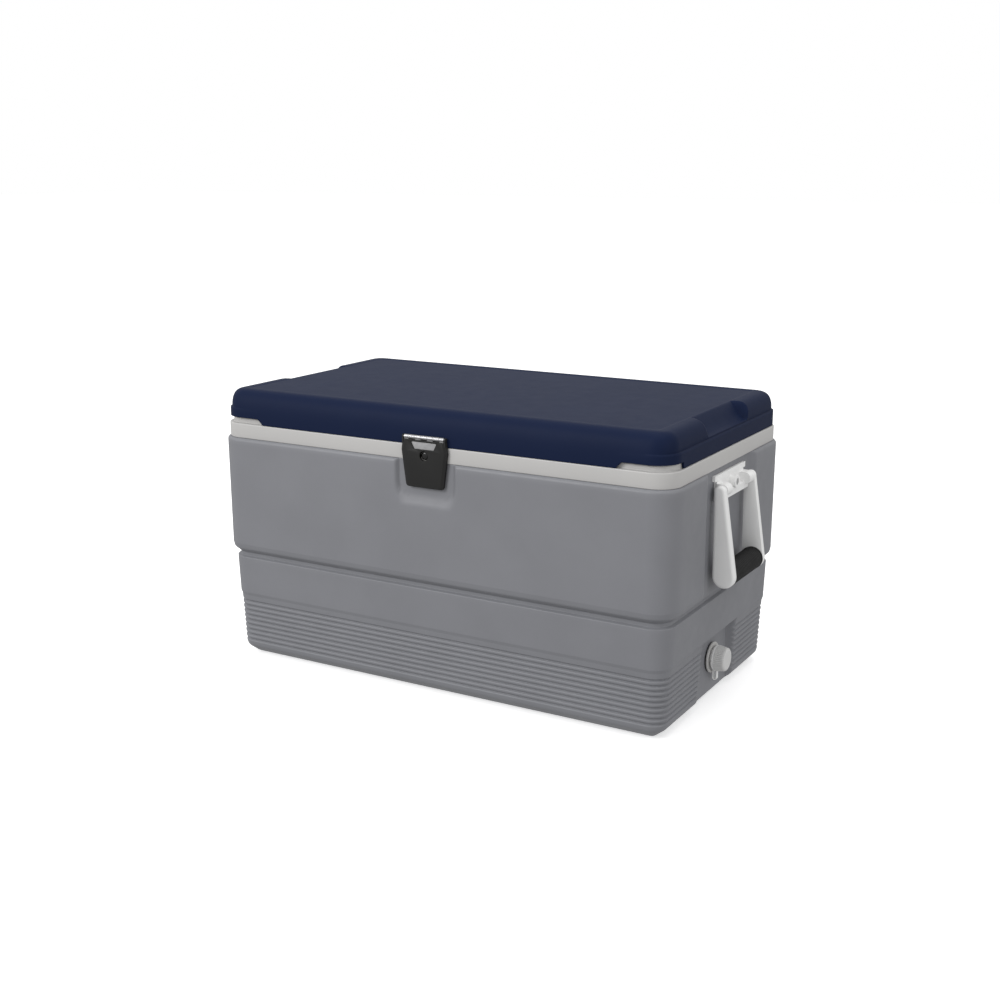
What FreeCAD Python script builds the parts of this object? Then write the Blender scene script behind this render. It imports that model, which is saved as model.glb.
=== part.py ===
import FreeCAD, Part
import math
import os
import re
import Sketcher

# A 70-quart insulated ice chest: a grey double-walled hull with a white tub set into it, a blue
# hinged lid with a steel-hinged latch, a swinging bail handle on each end and a screw-capped drain.
# Millimetres, +Z up, X along the length, the front at -Y, the origin at the middle of the base.

doc = FreeCAD.newDocument("ice_chest")
dims = doc.addObject("Spreadsheet::Sheet", "dims")

# name: (value, meaning). Insets are measured inward from half_length and half_width.
CELLS = {
    "half_length": (365, "half of the hull's length at its top"),
    "half_width": (203.5, "half of the hull's width at its top"),
    "corner_radius": (36.5, "plan corner radius of the hull at no inset"),
    "wall": (3, "skin thickness of the mouldings"),
    "base_inset": (14.9, "inset of the ribbed skirt at the floor"),
    "base_fillet": (16, "rounding of the bottom edge"),
    "rib_top": (96, "height of the top of the ribbed skirt"),
    "rib_top_inset": (10.4, "inset at the top of the ribbed skirt"),
    "rib_count": (9, "grooves in the ribbed skirt"),
    "rib_first": (24, "height of the lowest groove"),
    "rib_pitch": (7.775, "spacing of the grooves"),
    "rib_groove": (2.4, "groove width"),
    "rib_depth": (1.6, "groove depth"),
    "band_low": (101, "height of the plain band's lower edge"),
    "band_low_inset": (8.6, "inset there"),
    "band_top": (157, "height of the plain band's upper edge"),
    "band_top_inset": (6.6, "inset there"),
    "waist_low": (159.5, "bottom of the waist groove"),
    "waist_top": (165.5, "top of the waist groove"),
    "waist_inset": (9.6, "inset of the waist groove"),
    "upper_low": (172, "height of the upper hull's lower edge"),
    "upper_low_inset": (2.2, "inset there"),
    "upper_round": (176.5, "where that edge is vertical again"),
    "upper_round_inset": (0.9, "inset there"),
    "rim_low": (341, "underside of the white rim"),
    "rim_top": (362.6, "ledge that the lid's skirt closes on"),
    "rim_inset": (4.3, "inset of the rim's outer face"),
    "hull_top_fillet": (5, "rounding of the hull's top edge"),
    "lip_top": (370, "top of the tub's inner lip"),
    "lip_inset": (10.2, "inset of the lip's outer face"),
    "mouth_inset": (38, "inset of the tub's mouth"),
    "foam_gap": (0.15, "gap between the foam and the mouldings round it"),
    "mouth_radius": (24, "plan corner radius of the tub's inside"),
    "floor_inset": (52, "inset of the tub's floor"),
    "floor_height": (40, "height of the tub's floor"),
    "recess_half": (52, "half width of the recess behind the latch"),
    "recess_low": (281, "bottom of the recess behind the latch"),
    "recess_depth": (9, "depth of the recess behind the latch"),
    "dish_half": (92, "half width of the recess behind a handle"),
    "dish_depth": (8, "depth of the recess behind a handle"),
    "drain_height": (59, "height of the drain's axis"),
    "drain_pocket_half": (66, "half width of the pocket round the drain"),
    "drain_pocket_depth": (23, "how far the pocket's floor lies inside half_length"),
    "skirt_low": (362.9, "lower edge of the lid's skirt"),
    "skirt_top": (384.6, "step above the lid's end flanges"),
    "lid_top": (411.5, "top of the lid"),
    "crease_inset": (28, "inset of the crease along the lid's front and back"),
    "shoulder_low": (365, "height where the rounding of the lid's front and back starts"),
    "shoulder_power": (2.6, "how square that rounding is, 2 being an ellipse"),
    "end_crease_inset": (31.4, "inset of the crease at the lid's ends"),
    "end_shoulder_inset": (9.2, "inset of the lid's ends above the flange"),
    "end_shoulder_power": (2.85, "how square the rounding of the ends is"),
    "flange_step": (2, "how much further in the end flanges stand than the front skirt"),
    "scoop_half": (74, "half width of a finger scoop in the lid's end"),
    "scoop_floor": (1.2, "height of a scoop's floor above the end flange"),
    "panel_gap": (1, "gap round the lid's inner panel"),
    "reveal_start": (283, "where the raised skirt at a front corner starts"),
    "reveal_rise": (8.4, "how far the skirt is raised there"),
    "liner_low": (370.4, "underside of the lid's inner panel"),
    "plug_low": (358, "underside of the panel's plug"),
    "hinge_x": (205, "distance of a back hinge from the middle"),
    "hinge_half": (27, "half length of a back hinge"),
    "hinge_y": (202.4, "axis of the back hinges"),
    "hinge_z": (362.75, "axis of the back hinges"),
    "hinge_barrel": (3.1, "radius of a back hinge's barrel"),
    "hinge_pin": (1.5, "radius of a back hinge's pin"),
    "latch_y": (202.4, "axis of the latch hinge, towards the front"),
    "latch_z": (373.9, "axis of the latch hinge"),
    "latch_barrel": (2.9, "radius of the latch hinge's barrel"),
    "latch_pin": (1.6, "radius of the latch hinge's pin"),
    "latch_front": (205.5, "front face of the latch"),
    "latch_back": (200.3, "back face of the latch"),
    "latch_skin": (1.5, "thickness of the latch's front skin"),
    "latch_low": (304.6, "lower edge of the latch"),
    "latch_high": (370.6, "upper edge of the latch"),
    "latch_wide_z": (355, "height where the latch is widest"),
    "latch_half_top": (34.8, "half width at the top"),
    "latch_half_wide": (36.8, "half width at the widest"),
    "latch_half_low": (29.7, "half width at the bottom"),
    "latch_pocket_low": (356.2, "lower end of the hollow behind the latch's leaf"),
    "latch_cheek": (32.6, "inner face of the latch's cheeks beside the hinge"),
    "window_low": (358, "lower edge of the latch's window"),
    "window_top": (368.4, "upper edge of the latch's window"),
    "window_half_low": (16, "half width of the window at its lower edge"),
    "window_half_top": (21, "half width of the window at its upper edge"),
    "leaf_half": (31.5, "half width of the latch's steel leaves"),
    "leaf_steel": (1.2, "thickness of the latch's steel leaves"),
    "leaf_screw": (1.4, "radius of the screws through the lid's leaf"),
    "leaf_screw_z": (367.5, "height of those screws"),
    "stud_z": (349, "height of the keeper stud"),
    "stud_radius": (5.2, "radius of the stud's head"),
    "stud_neck": (3.4, "radius of the stud's neck"),
    "stud_reach": (3.1, "distance of the stud's head from the rim"),
    "stud_hole": (6.5, "radius of the latch's hole for the stud"),
    "stud_room": (7.5, "radius of the hollow behind that hole"),
    "pivot_x": (369.5, "axis of a handle's pivots"),
    "pivot_z": (313, "axis of a handle's pivots"),
    "arm_inner": (51, "inner face of a handle's arm from the middle"),
    "arm_outer": (62, "outer face of a handle's arm"),
    "arm_top_radius": (7.6, "radius of the arm's top"),
    "arm_low_radius": (15.8, "radius of the arm's lower end"),
    "grip_x": (379, "axis of the grip"),
    "grip_z": (197, "axis of the grip"),
    "grip_radius": (16, "radius of the grip"),
    "rod_radius": (5, "radius of the rod in the grip"),
    "pivot_pin": (3, "radius of a pivot pin"),
    "run_gap": (0.06, "radial clearance of a running pin"),
    "bracket_half": (49, "half length of a handle's bracket"),
    "bracket_plate": (4.5, "thickness of the bracket's plate"),
    "bracket_low": (297, "lower edge of the bracket's plate"),
    "bracket_top": (325, "upper edge of the bracket's plate"),
    "head_half": (56, "half length of the bracket's wide head"),
    "head_top": (332, "upper edge of the bracket's head"),
    "shelf_low": (298.5, "underside of the bracket's shelf"),
    "shelf_top": (309, "top of the bracket's shelf"),
    "barrel_radius": (8.6, "radius of a pivot barrel"),
    "barrel_start": (33, "inner end of a pivot barrel"),
    "barrel_end": (50.6, "outer end of a pivot barrel"),
    "pin_start": (36, "inner end of a pivot pin"),
    "pin_end": (60, "outer end of a pivot pin"),
    "boss_radius": (9, "radius of the bracket's screw boss"),
    "boss_face": (372, "face of the boss"),
    "boss_z": (315.5, "height of the boss"),
    "boss_sink": (2, "depth of the sink for the screw's head"),
    "wood_screw": (2.2, "radius of the bracket's screw"),
    "wood_screw_length": (22, "length of the bracket's screw below its head"),
    "wood_screw_head": (4.5, "radius of that screw's head"),
    "cap_radius": (18.7, "radius of the drain cap"),
    "neck_radius": (11, "radius of the drain's threaded neck"),
    "tube_radius": (10, "radius of the drain's tube"),
    "bore_radius": (7.5, "radius of the drain's bore"),
    "flange_radius": (22, "radius of the drain's flange"),
    "flange_thick": (2.6, "thickness of the drain's flange"),
    "gasket_thick": (2, "thickness of the gasket behind the flange"),
    "neck_length": (18.7, "length of the neck from the gasket"),
    "tube_reach": (32.2, "reach of the drain's tube into the chest"),
    "nut_radius": (13.5, "radius of the nut inside the tub"),
    "nut_thick": (3.1, "thickness of that nut"),
    "cap_start": (6.7, "distance of the cap's open end from the pocket's floor"),
    "cap_length": (19.5, "length of the cap"),
    "cap_collar": (15, "radius of the cap's collar"),
    "collar_length": (5.2, "length of the cap's collar"),
    "cap_hollow": (15.9, "depth of the cap's thread"),
    "tether_ring": (14.5, "outer radius of the tether's ring on the neck"),
    "tether_thick": (1.4, "thickness of the tether's strap"),
    "strap_half": (3, "half width of the tether's strap"),
    "strap_low": (30, "height where the strap turns back"),
    "strap_bend": (3.3, "outer radius of the strap's bend"),
    "collar_ring": (18.4, "outer radius of the tether's ring on the cap"),
    "collar_ring_gap": (0.35, "clearance of that ring on the collar"),
}
for row, (name, (value, meaning)) in enumerate(CELLS.items(), start=1):
    dims.set("A%d" % row, name)
    dims.set("B%d" % row, str(value))
    dims.set("C%d" % row, meaning)
    dims.setAlias("B%d" % row, name)
doc.recompute()

WORD = re.compile(r"[a-z][a-z_]*[a-z]")


def bound(text):
    """An expression in which each sheet name points at its cell."""
    return WORD.sub(lambda m: "dims." + m.group(0) if m.group(0) in CELLS else m.group(0), str(text))


def number(text):
    """The present value of such an expression."""
    return float(dims.evalExpression(bound(text)))


# ---------------------------------------------------------------- sketches and features

PLANES = {"top": "XY_Plane", "front": "XZ_Plane", "end": "YZ_Plane"}


def new_body(label):
    body = doc.addObject("PartDesign::Body", label)
    body.Label = label
    return body


def new_sketch(body, plane, offset):
    """A sketch on one of the body's own planes. Heights run along +Z, +X, or -Y on the front plane."""
    sketch = body.newObject("Sketcher::SketchObject", "sketch")
    role = PLANES[plane]
    sketch.AttachmentSupport = [o for o in body.Origin.OriginFeatures if o.Role == role][0]
    sketch.MapMode = "FlatFace"
    sketch.AttachmentOffset = FreeCAD.Placement(FreeCAD.Vector(0, 0, number(offset)), FreeCAD.Rotation())
    sketch.setExpression("AttachmentOffset.Base.z", bound(offset))
    return sketch


def bind(sketch, kind, *args):
    """Add a constraint whose last argument is an expression."""
    text = args[-1]
    index = sketch.addConstraint(Sketcher.Constraint(kind, *args[:-1], number(text)))
    sketch.setExpression("Constraints[%d]" % index, bound(text))


def rounded_rectangle(body, plane, offset, half_u, half_v, radius, mid_u="0", mid_v="0"):
    """A closed rounded rectangle: four sides and four tangent arcs."""
    sketch = new_sketch(body, plane, offset)
    add_rounded_rectangle(sketch, half_u, half_v, radius, mid_u, mid_v)
    return sketch


def add_rounded_rectangle(sketch, half_u, half_v, radius, mid_u="0", mid_v="0"):
    a, b, r = number(half_u), number(half_v), number(radius)
    u, v = number(mid_u), number(mid_v)
    point = lambda x, y: FreeCAD.Vector(u + x, v + y, 0)
    corners = [(a - r, -b + r, -90), (a - r, b - r, 0), (-a + r, b - r, 90), (-a + r, -b + r, 180)]
    sides = [((-a + r, -b), (a - r, -b)), ((a, -b + r), (a, b - r)),
             ((a - r, b), (-a + r, b)), ((-a, b - r), (-a, -b + r))]
    lines, arcs = [], []
    for (start, end), (cx, cy, turn) in zip(sides, corners):
        lines.append(sketch.addGeometry(Part.LineSegment(point(*start), point(*end)), False))
        circle = Part.Circle(point(cx, cy), FreeCAD.Vector(0, 0, 1), r)
        arc = Part.ArcOfCircle(circle, math.radians(turn), math.radians(turn + 90))
        arcs.append(sketch.addGeometry(arc, False))
    for k in range(4):
        sketch.addConstraint(Sketcher.Constraint("Tangent", lines[k], 2, arcs[k], 1))
        sketch.addConstraint(Sketcher.Constraint("Tangent", arcs[k], 2, lines[(k + 1) % 4], 1))
    sketch.addConstraint(Sketcher.Constraint("Horizontal", lines[0]))
    sketch.addConstraint(Sketcher.Constraint("Vertical", lines[1]))
    sketch.addConstraint(Sketcher.Constraint("Horizontal", lines[2]))
    sketch.addConstraint(Sketcher.Constraint("Vertical", lines[3]))
    for k in range(1, 4):
        sketch.addConstraint(Sketcher.Constraint("Equal", arcs[0], arcs[k]))
    bind(sketch, "Radius", arcs[0], radius)
    bind(sketch, "DistanceX", lines[3], 1, lines[1], 1, "2*(%s)" % half_u)
    bind(sketch, "DistanceY", lines[0], 1, lines[2], 1, "2*(%s)" % half_v)
    bind(sketch, "DistanceX", -1, 1, lines[1], 1, "(%s)+(%s)" % (mid_u, half_u))
    bind(sketch, "DistanceY", -1, 1, lines[2], 1, "(%s)+(%s)" % (mid_v, half_v))


def plan_section(body, height, inset, end_inset=None, radius=None):
    """The chest's plan outline at one height, set in by inset."""
    end_inset = end_inset or inset
    radius = radius or "max(corner_radius-(%s); 6)" % inset
    return rounded_rectangle(body, "top", height, "half_length-(%s)" % end_inset,
                             "half_width-(%s)" % inset, radius)


def polygon(body, plane, offset, points):
    """A closed outline whose corners are given as pairs of expressions."""
    sketch = new_sketch(body, plane, offset)
    values = [FreeCAD.Vector(number(u), number(v), 0) for u, v in points]
    count = len(points)
    for k in range(count):
        sketch.addGeometry(Part.LineSegment(values[k], values[(k + 1) % count]), False)
    for k in range(count):
        sketch.addConstraint(Sketcher.Constraint("Coincident", k, 2, (k + 1) % count, 1))
    for k, (u, v) in enumerate(points):
        bind(sketch, "DistanceX", -1, 1, k, 1, u)
        bind(sketch, "DistanceY", -1, 1, k, 1, v)
    return sketch


def circles(body, plane, offset, spots):
    """Circles given as (u, v, radius) expressions."""
    sketch = new_sketch(body, plane, offset)
    for u, v, radius in spots:
        centre = FreeCAD.Vector(number(u), number(v), 0)
        k = sketch.addGeometry(Part.Circle(centre, FreeCAD.Vector(0, 0, 1), number(radius)), False)
        bind(sketch, "Radius", k, radius)
        bind(sketch, "DistanceX", -1, 1, k, 3, u)
        bind(sketch, "DistanceY", -1, 1, k, 3, v)
    return sketch


def loft(body, sections, add=True):
    kind = "PartDesign::AdditiveLoft" if add else "PartDesign::SubtractiveLoft"
    feature = body.newObject(kind, "loft")
    feature.Profile = sections[0]
    feature.Sections = sections[1:]
    feature.Ruled = True
    doc.recompute()
    return feature


def extrude(body, sketch, length, add=True, back=False):
    """Pad or pocket a sketch, along its normal or against it."""
    feature = body.newObject("PartDesign::Pad" if add else "PartDesign::Pocket", "extrude")
    feature.Profile = sketch
    feature.setExpression("Length", bound(length))
    feature.Reversed = back if add else not back
    before = body.Shape.Volume if body.Shape and not body.Shape.isNull() else 0
    doc.recompute()
    if (body.Shape.Volume > before) != add:
        raise ValueError("%s: %s has no effect" % (body.Label, feature.Name))
    return feature


def fillet(body, radius, wanted):
    """Round the edges of the body for which wanted(edge) holds."""
    base = body.Tip
    names = ["Edge%d" % (k + 1) for k, edge in enumerate(base.Shape.Edges) if wanted(edge)]
    feature = body.newObject("PartDesign::Fillet", "fillet")
    feature.Base = (base, names)
    feature.setExpression("Radius", bound(radius))
    doc.recompute()
    return feature


def level(height):
    """Edges that lie wholly at one height."""
    z = number(height)
    return lambda e: abs(e.BoundBox.ZMin - z) < 1e-3 and abs(e.BoundBox.ZMax - z) < 1e-3


# ---------------------------------------------------------------- primitives

def place(item, at, turn=None):
    for axis, text in zip("xyz", at):
        item.setExpression("Placement.Base." + axis, bound(text))
    if turn:
        item.Placement.Rotation = turn


ALONG_X = FreeCAD.Rotation(FreeCAD.Vector(0, 1, 0), 90)
ALONG_Y = FreeCAD.Rotation(FreeCAD.Vector(1, 0, 0), -90)


def cylinder(radius, length, at, turn=None):
    item = doc.addObject("Part::Cylinder", "cylinder")
    item.setExpression("Radius", bound(radius))
    item.setExpression("Height", bound(length))
    place(item, at, turn)
    return item


def box(low, high):
    """A box between two corners given as expressions."""
    item = doc.addObject("Part::Box", "box")
    for side, start, end in zip(("Length", "Width", "Height"), low, high):
        item.setExpression(side, bound("(%s)-(%s)" % (end, start)))
    place(item, low)
    return item


def named(item, label):
    item.Label = label
    return item


def fuse(items, label="fusion"):
    item = doc.addObject("Part::MultiFuse", label)
    item.Shapes = items
    item.Refine = True
    item.Label = label
    return item


def cut(base, tool, label="difference"):
    item = doc.addObject("Part::Cut", label)
    item.Base = base
    item.Tool = tool
    item.Label = label
    return item


def ring_x(outer, inner, start, end, label):
    """A ring round the drain's axis between two stations along X."""
    length = "(%s)-(%s)" % (end, start)
    solid = cylinder(outer, length, (start, "0", "drain_height"), ALONG_X)
    hole = cylinder(inner, "%s+2" % length, ("(%s)-1" % start, "0", "drain_height"), ALONG_X)
    return cut(solid, hole, label)


def centred_box(body, plane, offset, half_u, low_v, high_v, mid_u="0"):
    return polygon(body, plane, offset, [
        ("(%s)-(%s)" % (mid_u, half_u), low_v), ("(%s)+(%s)" % (mid_u, half_u), low_v),
        ("(%s)+(%s)" % (mid_u, half_u), high_v), ("(%s)-(%s)" % (mid_u, half_u), high_v)])


SIDES = (("right", 1), ("left", -1))
ENDS = (("front", -1), ("rear", 1))
kept = []


def keep(*items):
    kept.extend(items)


# ---------------------------------------------------------------- outer hull

def cavity_sections(body, gap="0"):
    """The hollow between hull and tub, below the rim."""
    levels = [("wall+%s" % gap, "base_inset+base_fillet+1.5"), ("base_fillet+2", "base_inset+wall"),
              ("rib_top-4", "rib_top_inset+wall"), ("band_top-6", "waist_inset+wall"),
              ("waist_top+3", "waist_inset+wall"), ("upper_round+3", "upper_round_inset+wall"),
              ("rim_low-wall-%s" % gap, "wall")]
    return [plan_section(body, height, "%s+%s" % (inset, gap)) for height, inset in levels]


def cut_recesses(body):
    """The recess behind the latch, one behind each handle, and the pocket round the drain."""
    loft(body, [rounded_rectangle(body, "front", "half_width+0.5", "recess_half", "rim_low-recess_low",
                                  "18", "0", "rim_low"),
                rounded_rectangle(body, "front", "half_width-recess_depth", "recess_half-8",
                                  "rim_low-recess_low-7", "14", "0", "rim_low")], add=False)
    for _, side in SIDES:
        loft(body, [rounded_rectangle(body, "end", "%d*(half_length+0.5)" % side, "dish_half",
                                      "rim_low-upper_low+8", "14", "0", "rim_low"),
                    rounded_rectangle(body, "end", "%d*(half_length-dish_depth)" % side, "dish_half-15",
                                      "rim_low-upper_low+6", "10", "0", "rim_low")], add=False)
    loft(body, [rounded_rectangle(body, "end", "half_length+1", "drain_pocket_half+3",
                                  "band_low+2", "4", "0", "0"),
                rounded_rectangle(body, "end", "half_length-drain_pocket_depth", "drain_pocket_half-9",
                                  "band_low-6", "4", "0", "0")], add=False)


def make_outer_hull():
    body = new_body("outer_hull")
    outline = [("0", "base_inset"), ("rib_top", "rib_top_inset"), ("band_low", "band_low_inset"),
               ("band_top", "band_top_inset"), ("waist_low", "waist_inset"), ("waist_top", "waist_inset"),
               ("upper_low", "upper_low_inset"), ("upper_round", "upper_round_inset"), ("rim_low", "0")]
    loft(body, [plan_section(body, height, inset) for height, inset in outline])
    fillet(body, "base_fillet", level("0"))
    fillet(body, "hull_top_fillet", level("rim_low"))
    loft(body, cavity_sections(body), add=False)
    extrude(body, plan_section(body, "rim_low", "wall*4"), "wall*2", add=False, back=True)
    # inner backing that carries each recess's floor and sides
    latch_back = centred_box(body, "front", "half_width-recess_depth-wall", "recess_half+wall",
                             "recess_low-wall", "rim_low")
    extrude(body, latch_back, "recess_depth+wall-1")
    for _, side in SIDES:
        floor = "%d*(half_length-dish_depth-wall)" % side
        back = centred_box(body, "end", floor, "dish_half+wall", "upper_low", "rim_low")
        extrude(body, back, "dish_depth+1", back=side < 0)
    floor = "half_length-drain_pocket_depth-wall"
    drain_back = polygon(body, "front", "-drain_pocket_half-wall", [
        (floor, "base_fillet*0.55"), ("half_length-base_inset-wall", "base_fillet*0.55"),
        ("half_length-base_inset-wall/2", "base_fillet+2"),
        ("half_length-rib_top_inset-wall*0.6", "rib_top-4"),
        ("half_length-rib_top_inset-wall*0.6", "band_low+5"), (floor, "band_low+5")])
    extrude(body, drain_back, "(drain_pocket_half+wall)*2")
    cut_recesses(body)
    for k in range(int(number("rib_count"))):
        height = "rib_first+rib_pitch*%d" % k
        depth = "base_inset+(rib_top_inset-base_inset)*(%s)/rib_top+rib_depth" % height
        sketch = plan_section(body, "(%s)-rib_groove/2" % height, depth)
        add_rounded_rectangle(sketch, "half_length+5", "half_width+5", "corner_radius")
        extrude(body, sketch, "rib_groove", add=False, back=False)
    hole = circles(body, "end", "half_length", [("0", "drain_height", "tube_radius")])
    extrude(body, hole, "60", add=False, back=True)
    return body


def tub_outside(body, add, gap="0"):
    outside = [("floor_height-wall-%s" % gap, "floor_inset"), ("rim_top-wall", "mouth_inset")]
    return loft(body, [plan_section(body, height, "%s-wall-%s" % (inset, gap), radius="mouth_radius+wall")
                       for height, inset in outside], add)


def make_tub():
    body = new_body("inner_tub")
    extrude(body, plan_section(body, "rim_low", "rim_inset"), "rim_top-rim_low")
    fillet(body, "1.2", level("rim_top"))
    extrude(body, plan_section(body, "rim_top", "lip_inset"), "lip_top-rim_top")
    fillet(body, "1.5", level("lip_top"))
    extrude(body, plan_section(body, "rim_low", "rim_inset+wall"), "rim_top-rim_low-wall",
            add=False, back=False)
    tub_outside(body, True)
    loft(body, [plan_section(body, "floor_height", "floor_inset", radius="mouth_radius"),
                plan_section(body, "lip_top+1", "mouth_inset", radius="mouth_radius")], add=False)
    fillet(body, "6", level("floor_height"))
    hole = circles(body, "end", "half_length-wall*5", [("0", "drain_height", "tube_radius")])
    extrude(body, hole, "80", add=False, back=True)
    return body


def make_hull_foam():
    body = new_body("hull_foam")
    loft(body, cavity_sections(body, "foam_gap"))
    extrude(body, plan_section(body, "rim_low-wall*2", "wall*4+foam_gap"), "wall*3")
    extrude(body, plan_section(body, "rim_low", "rim_inset+wall+foam_gap"), "rim_top-rim_low-wall-foam_gap")
    # clear of the backing behind each recess
    latch_back = centred_box(body, "front", "half_width-recess_depth-wall-foam_gap",
                             "recess_half+wall+foam_gap", "recess_low-wall-foam_gap", "rim_low")
    extrude(body, latch_back, "wall*9", add=False)
    for _, side in SIDES:
        floor = "%d*(half_length-dish_depth-wall-foam_gap)" % side
        back = centred_box(body, "end", floor, "dish_half+wall+foam_gap", "upper_low-foam_gap", "rim_low")
        extrude(body, back, "wall*9", add=False, back=side < 0)
    drain_back = centred_box(body, "end", "half_length-drain_pocket_depth-wall-foam_gap",
                             "drain_pocket_half+wall+foam_gap", "0", "band_low+5+foam_gap")
    extrude(body, drain_back, "wall*9", add=False)
    tub_outside(body, False, "foam_gap")
    hole = circles(body, "end", "half_length", [("0", "drain_height", "tube_radius")])
    extrude(body, hole, "90", add=False, back=True)
    return body


# ---------------------------------------------------------------- lid

def shoulder(height, low, outer, inner, power):
    """The lid's inset at a height, along a rounding that runs from its side to its crease."""
    share = "((%s)-(%s))/(lid_top-(%s))" % (height, low, low)
    return "%s-(%s-(%s))*(1-(%s)^%s)^(1/%s)" % (inner, inner, outer, share, power, power)


def lid_sections(body):
    """The lid's outside above its flange."""
    sections = []
    for height in ("skirt_top+0.6", "392.5", "399.5", "405", "409", "lid_top"):
        front = shoulder(height, "shoulder_low", "rim_inset", "crease_inset", "shoulder_power")
        end = shoulder(height, "skirt_top", "end_shoulder_inset", "end_crease_inset", "end_shoulder_power")
        sections.append(plan_section(body, height, front, end))
    return sections


def lid_room(body, add):
    """The upper part of the space inside the lid, kept clear of the finger scoops."""
    loft(body, [plan_section(body, "skirt_top-wall/2", "rim_inset+wall*1.5", "wall*9"),
                plan_section(body, "398", "12.5", "wall*11"),
                plan_section(body, "lid_top-wall", "crease_inset-wall/2", "wall*14")], add)


def make_lid_shell():
    body = new_body("lid_shell")
    extrude(body, plan_section(body, "skirt_low", "rim_inset", "rim_inset+flange_step"),
            "skirt_top-skirt_low")
    fillet(body, "1.5", level("skirt_top"))
    loft(body, [plan_section(body, "skirt_top-wall", "rim_inset+0.7", "end_shoulder_inset")]
         + lid_sections(body))
    extrude(body, plan_section(body, "skirt_low", "rim_inset+wall", "rim_inset+flange_step+wall"),
            "skirt_top-skirt_low-wall/2", add=False, back=False)
    lid_room(body, False)
    # finger scoops in both ends
    for _, side in SIDES:
        outline = [("330.5", "lid_top+2"), ("330.5", "lid_top-0.5"), ("339", "402"), ("344.5", "393.5"),
                   ("351", "388"), ("359.5", "skirt_top+scoop_floor"), ("372", "skirt_top+scoop_floor"),
                   ("372", "lid_top+2")]
        points = [("%d*(%s)" % (side, u), v) for u, v in outline]
        extrude(body, polygon(body, "front", "-scoop_half", points), "scoop_half*2", add=False, back=False)
    # the skirt is raised round the two front corners
    for _, side in SIDES:
        outline = [("reveal_start", "skirt_low-1"), ("reveal_start+reveal_rise", "skirt_low+reveal_rise"),
                   ("half_length+5", "skirt_low+reveal_rise"), ("half_length+5", "skirt_low-1")]
        points = [("%d*(%s)" % (side, u), v) for u, v in outline]
        extrude(body, polygon(body, "front", "half_width+5", points), "48", add=False, back=True)
    pocket = centred_box(body, "front", "half_width", "latch_half_top", "skirt_low-1", "latch_z+4")
    extrude(body, pocket, "rim_inset+0.7", add=False, back=True)
    return body


def plug_hollow(body):
    """The outline of the hollow in the panel's plug, which the lid's foam fills."""
    return plan_section(body, "liner_low+wall", "mouth_inset+4+wall", radius="mouth_radius-6")


def make_lid_panel():
    body = new_body("lid_inner_panel")
    extrude(body, plan_section(body, "liner_low", "rim_inset+wall+panel_gap",
                               "rim_inset+flange_step+wall+panel_gap"), "wall")
    extrude(body, plan_section(body, "liner_low", "mouth_inset+4", radius="mouth_radius-3"),
            "liner_low-plug_low", back=True)
    extrude(body, plug_hollow(body), "liner_low-plug_low", add=False, back=True)
    fillet(body, "2.5", level("plug_low"))
    return body


def make_lid_foam():
    body = new_body("lid_foam")
    extrude(body, plan_section(body, "liner_low+wall", "rim_inset+wall+panel_gap",
                               "rim_inset+flange_step+wall+panel_gap"), "skirt_top-liner_low-wall*1.5")
    lid_room(body, True)
    extrude(body, plug_hollow(body), "liner_low-plug_low", back=True)
    return body


# ---------------------------------------------------------------- back hinges

LID_KNUCKLES = ((-0.333, 0.333),)
HULL_KNUCKLES = ((-1, -0.34), (0.34, 1))
SCREW_SHIFTS = ("-18", "+18")


def hinge_leaf(label, mid, knuckles, low, high, reach, screw_height):
    """A hinge leaf: a plate on the moulding and the knuckles of its barrel."""
    plate = box((mid + "-hinge_half", "half_width-rim_inset", low),
                (mid + "+hinge_half", "half_width-rim_inset+2", high))
    pieces = [plate]
    for start, end in knuckles:
        at = "%s+hinge_half*(%s)" % (mid, start)
        length = "hinge_half*(%s)" % (end - start)
        pieces.append(cylinder("hinge_barrel", length, (at, "hinge_y", "hinge_z"), ALONG_X))
        web_low, web_high = sorted((number(reach), number("hinge_z")))
        pieces.append(box((at, "half_width-rim_inset+0.3", str(web_low)),
                          ("%s+%s" % (at, length), "half_width-rim_inset+2", str(web_high))))
    bores = [cylinder("hinge_pin+run_gap", "hinge_half*2+2", (mid + "-hinge_half-1", "hinge_y", "hinge_z"),
                      ALONG_X)]
    for shift in SCREW_SHIFTS:
        bores.append(cylinder("1.7", "6", (mid + shift, "half_width-rim_inset-2", screw_height), ALONG_Y))
    return cut(fuse(pieces), fuse(bores), label)


def screw_y(mid, height, face, length):
    """A pan-head screw along Y whose head stands on the back of a face."""
    head = cylinder("3.2", "1.4", (mid, face, height), ALONG_Y)
    shank = cylinder("1.7", length, (mid, "(%s)-(%s)" % (face, length), height), ALONG_Y)
    return [head, shank]


def make_back_hinges():
    face = "half_width-rim_inset+2"
    hull_screws, lid_screws, pins = [], [], []
    for word, side in SIDES:
        mid = "%d*hinge_x" % side
        keep(hinge_leaf("hinge_leaf_hull_" + word, mid, HULL_KNUCKLES, "rim_low+1.5", "rim_top-2.8",
                        "rim_top-3.5", "rim_low+9.5"))
        keep(hinge_leaf("hinge_leaf_lid_" + word, mid, LID_KNUCKLES, "rim_top+3.2", "skirt_top-1",
                        "rim_top+4", "skirt_top-9.5"))
        pins.append(cylinder("hinge_pin", "hinge_half*2", (mid + "-hinge_half", "hinge_y", "hinge_z"),
                             ALONG_X))
        for shift in SCREW_SHIFTS:
            hull_screws += screw_y(mid + shift, "rim_low+9.5", face, "14")
            lid_screws += screw_y(mid + shift, "skirt_top-9.5", face, "10")
    keep(fuse(pins, "hinge_pins"), fuse(hull_screws, "hinge_screws_hull"),
         fuse(lid_screws, "hinge_screws_lid"))


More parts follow.
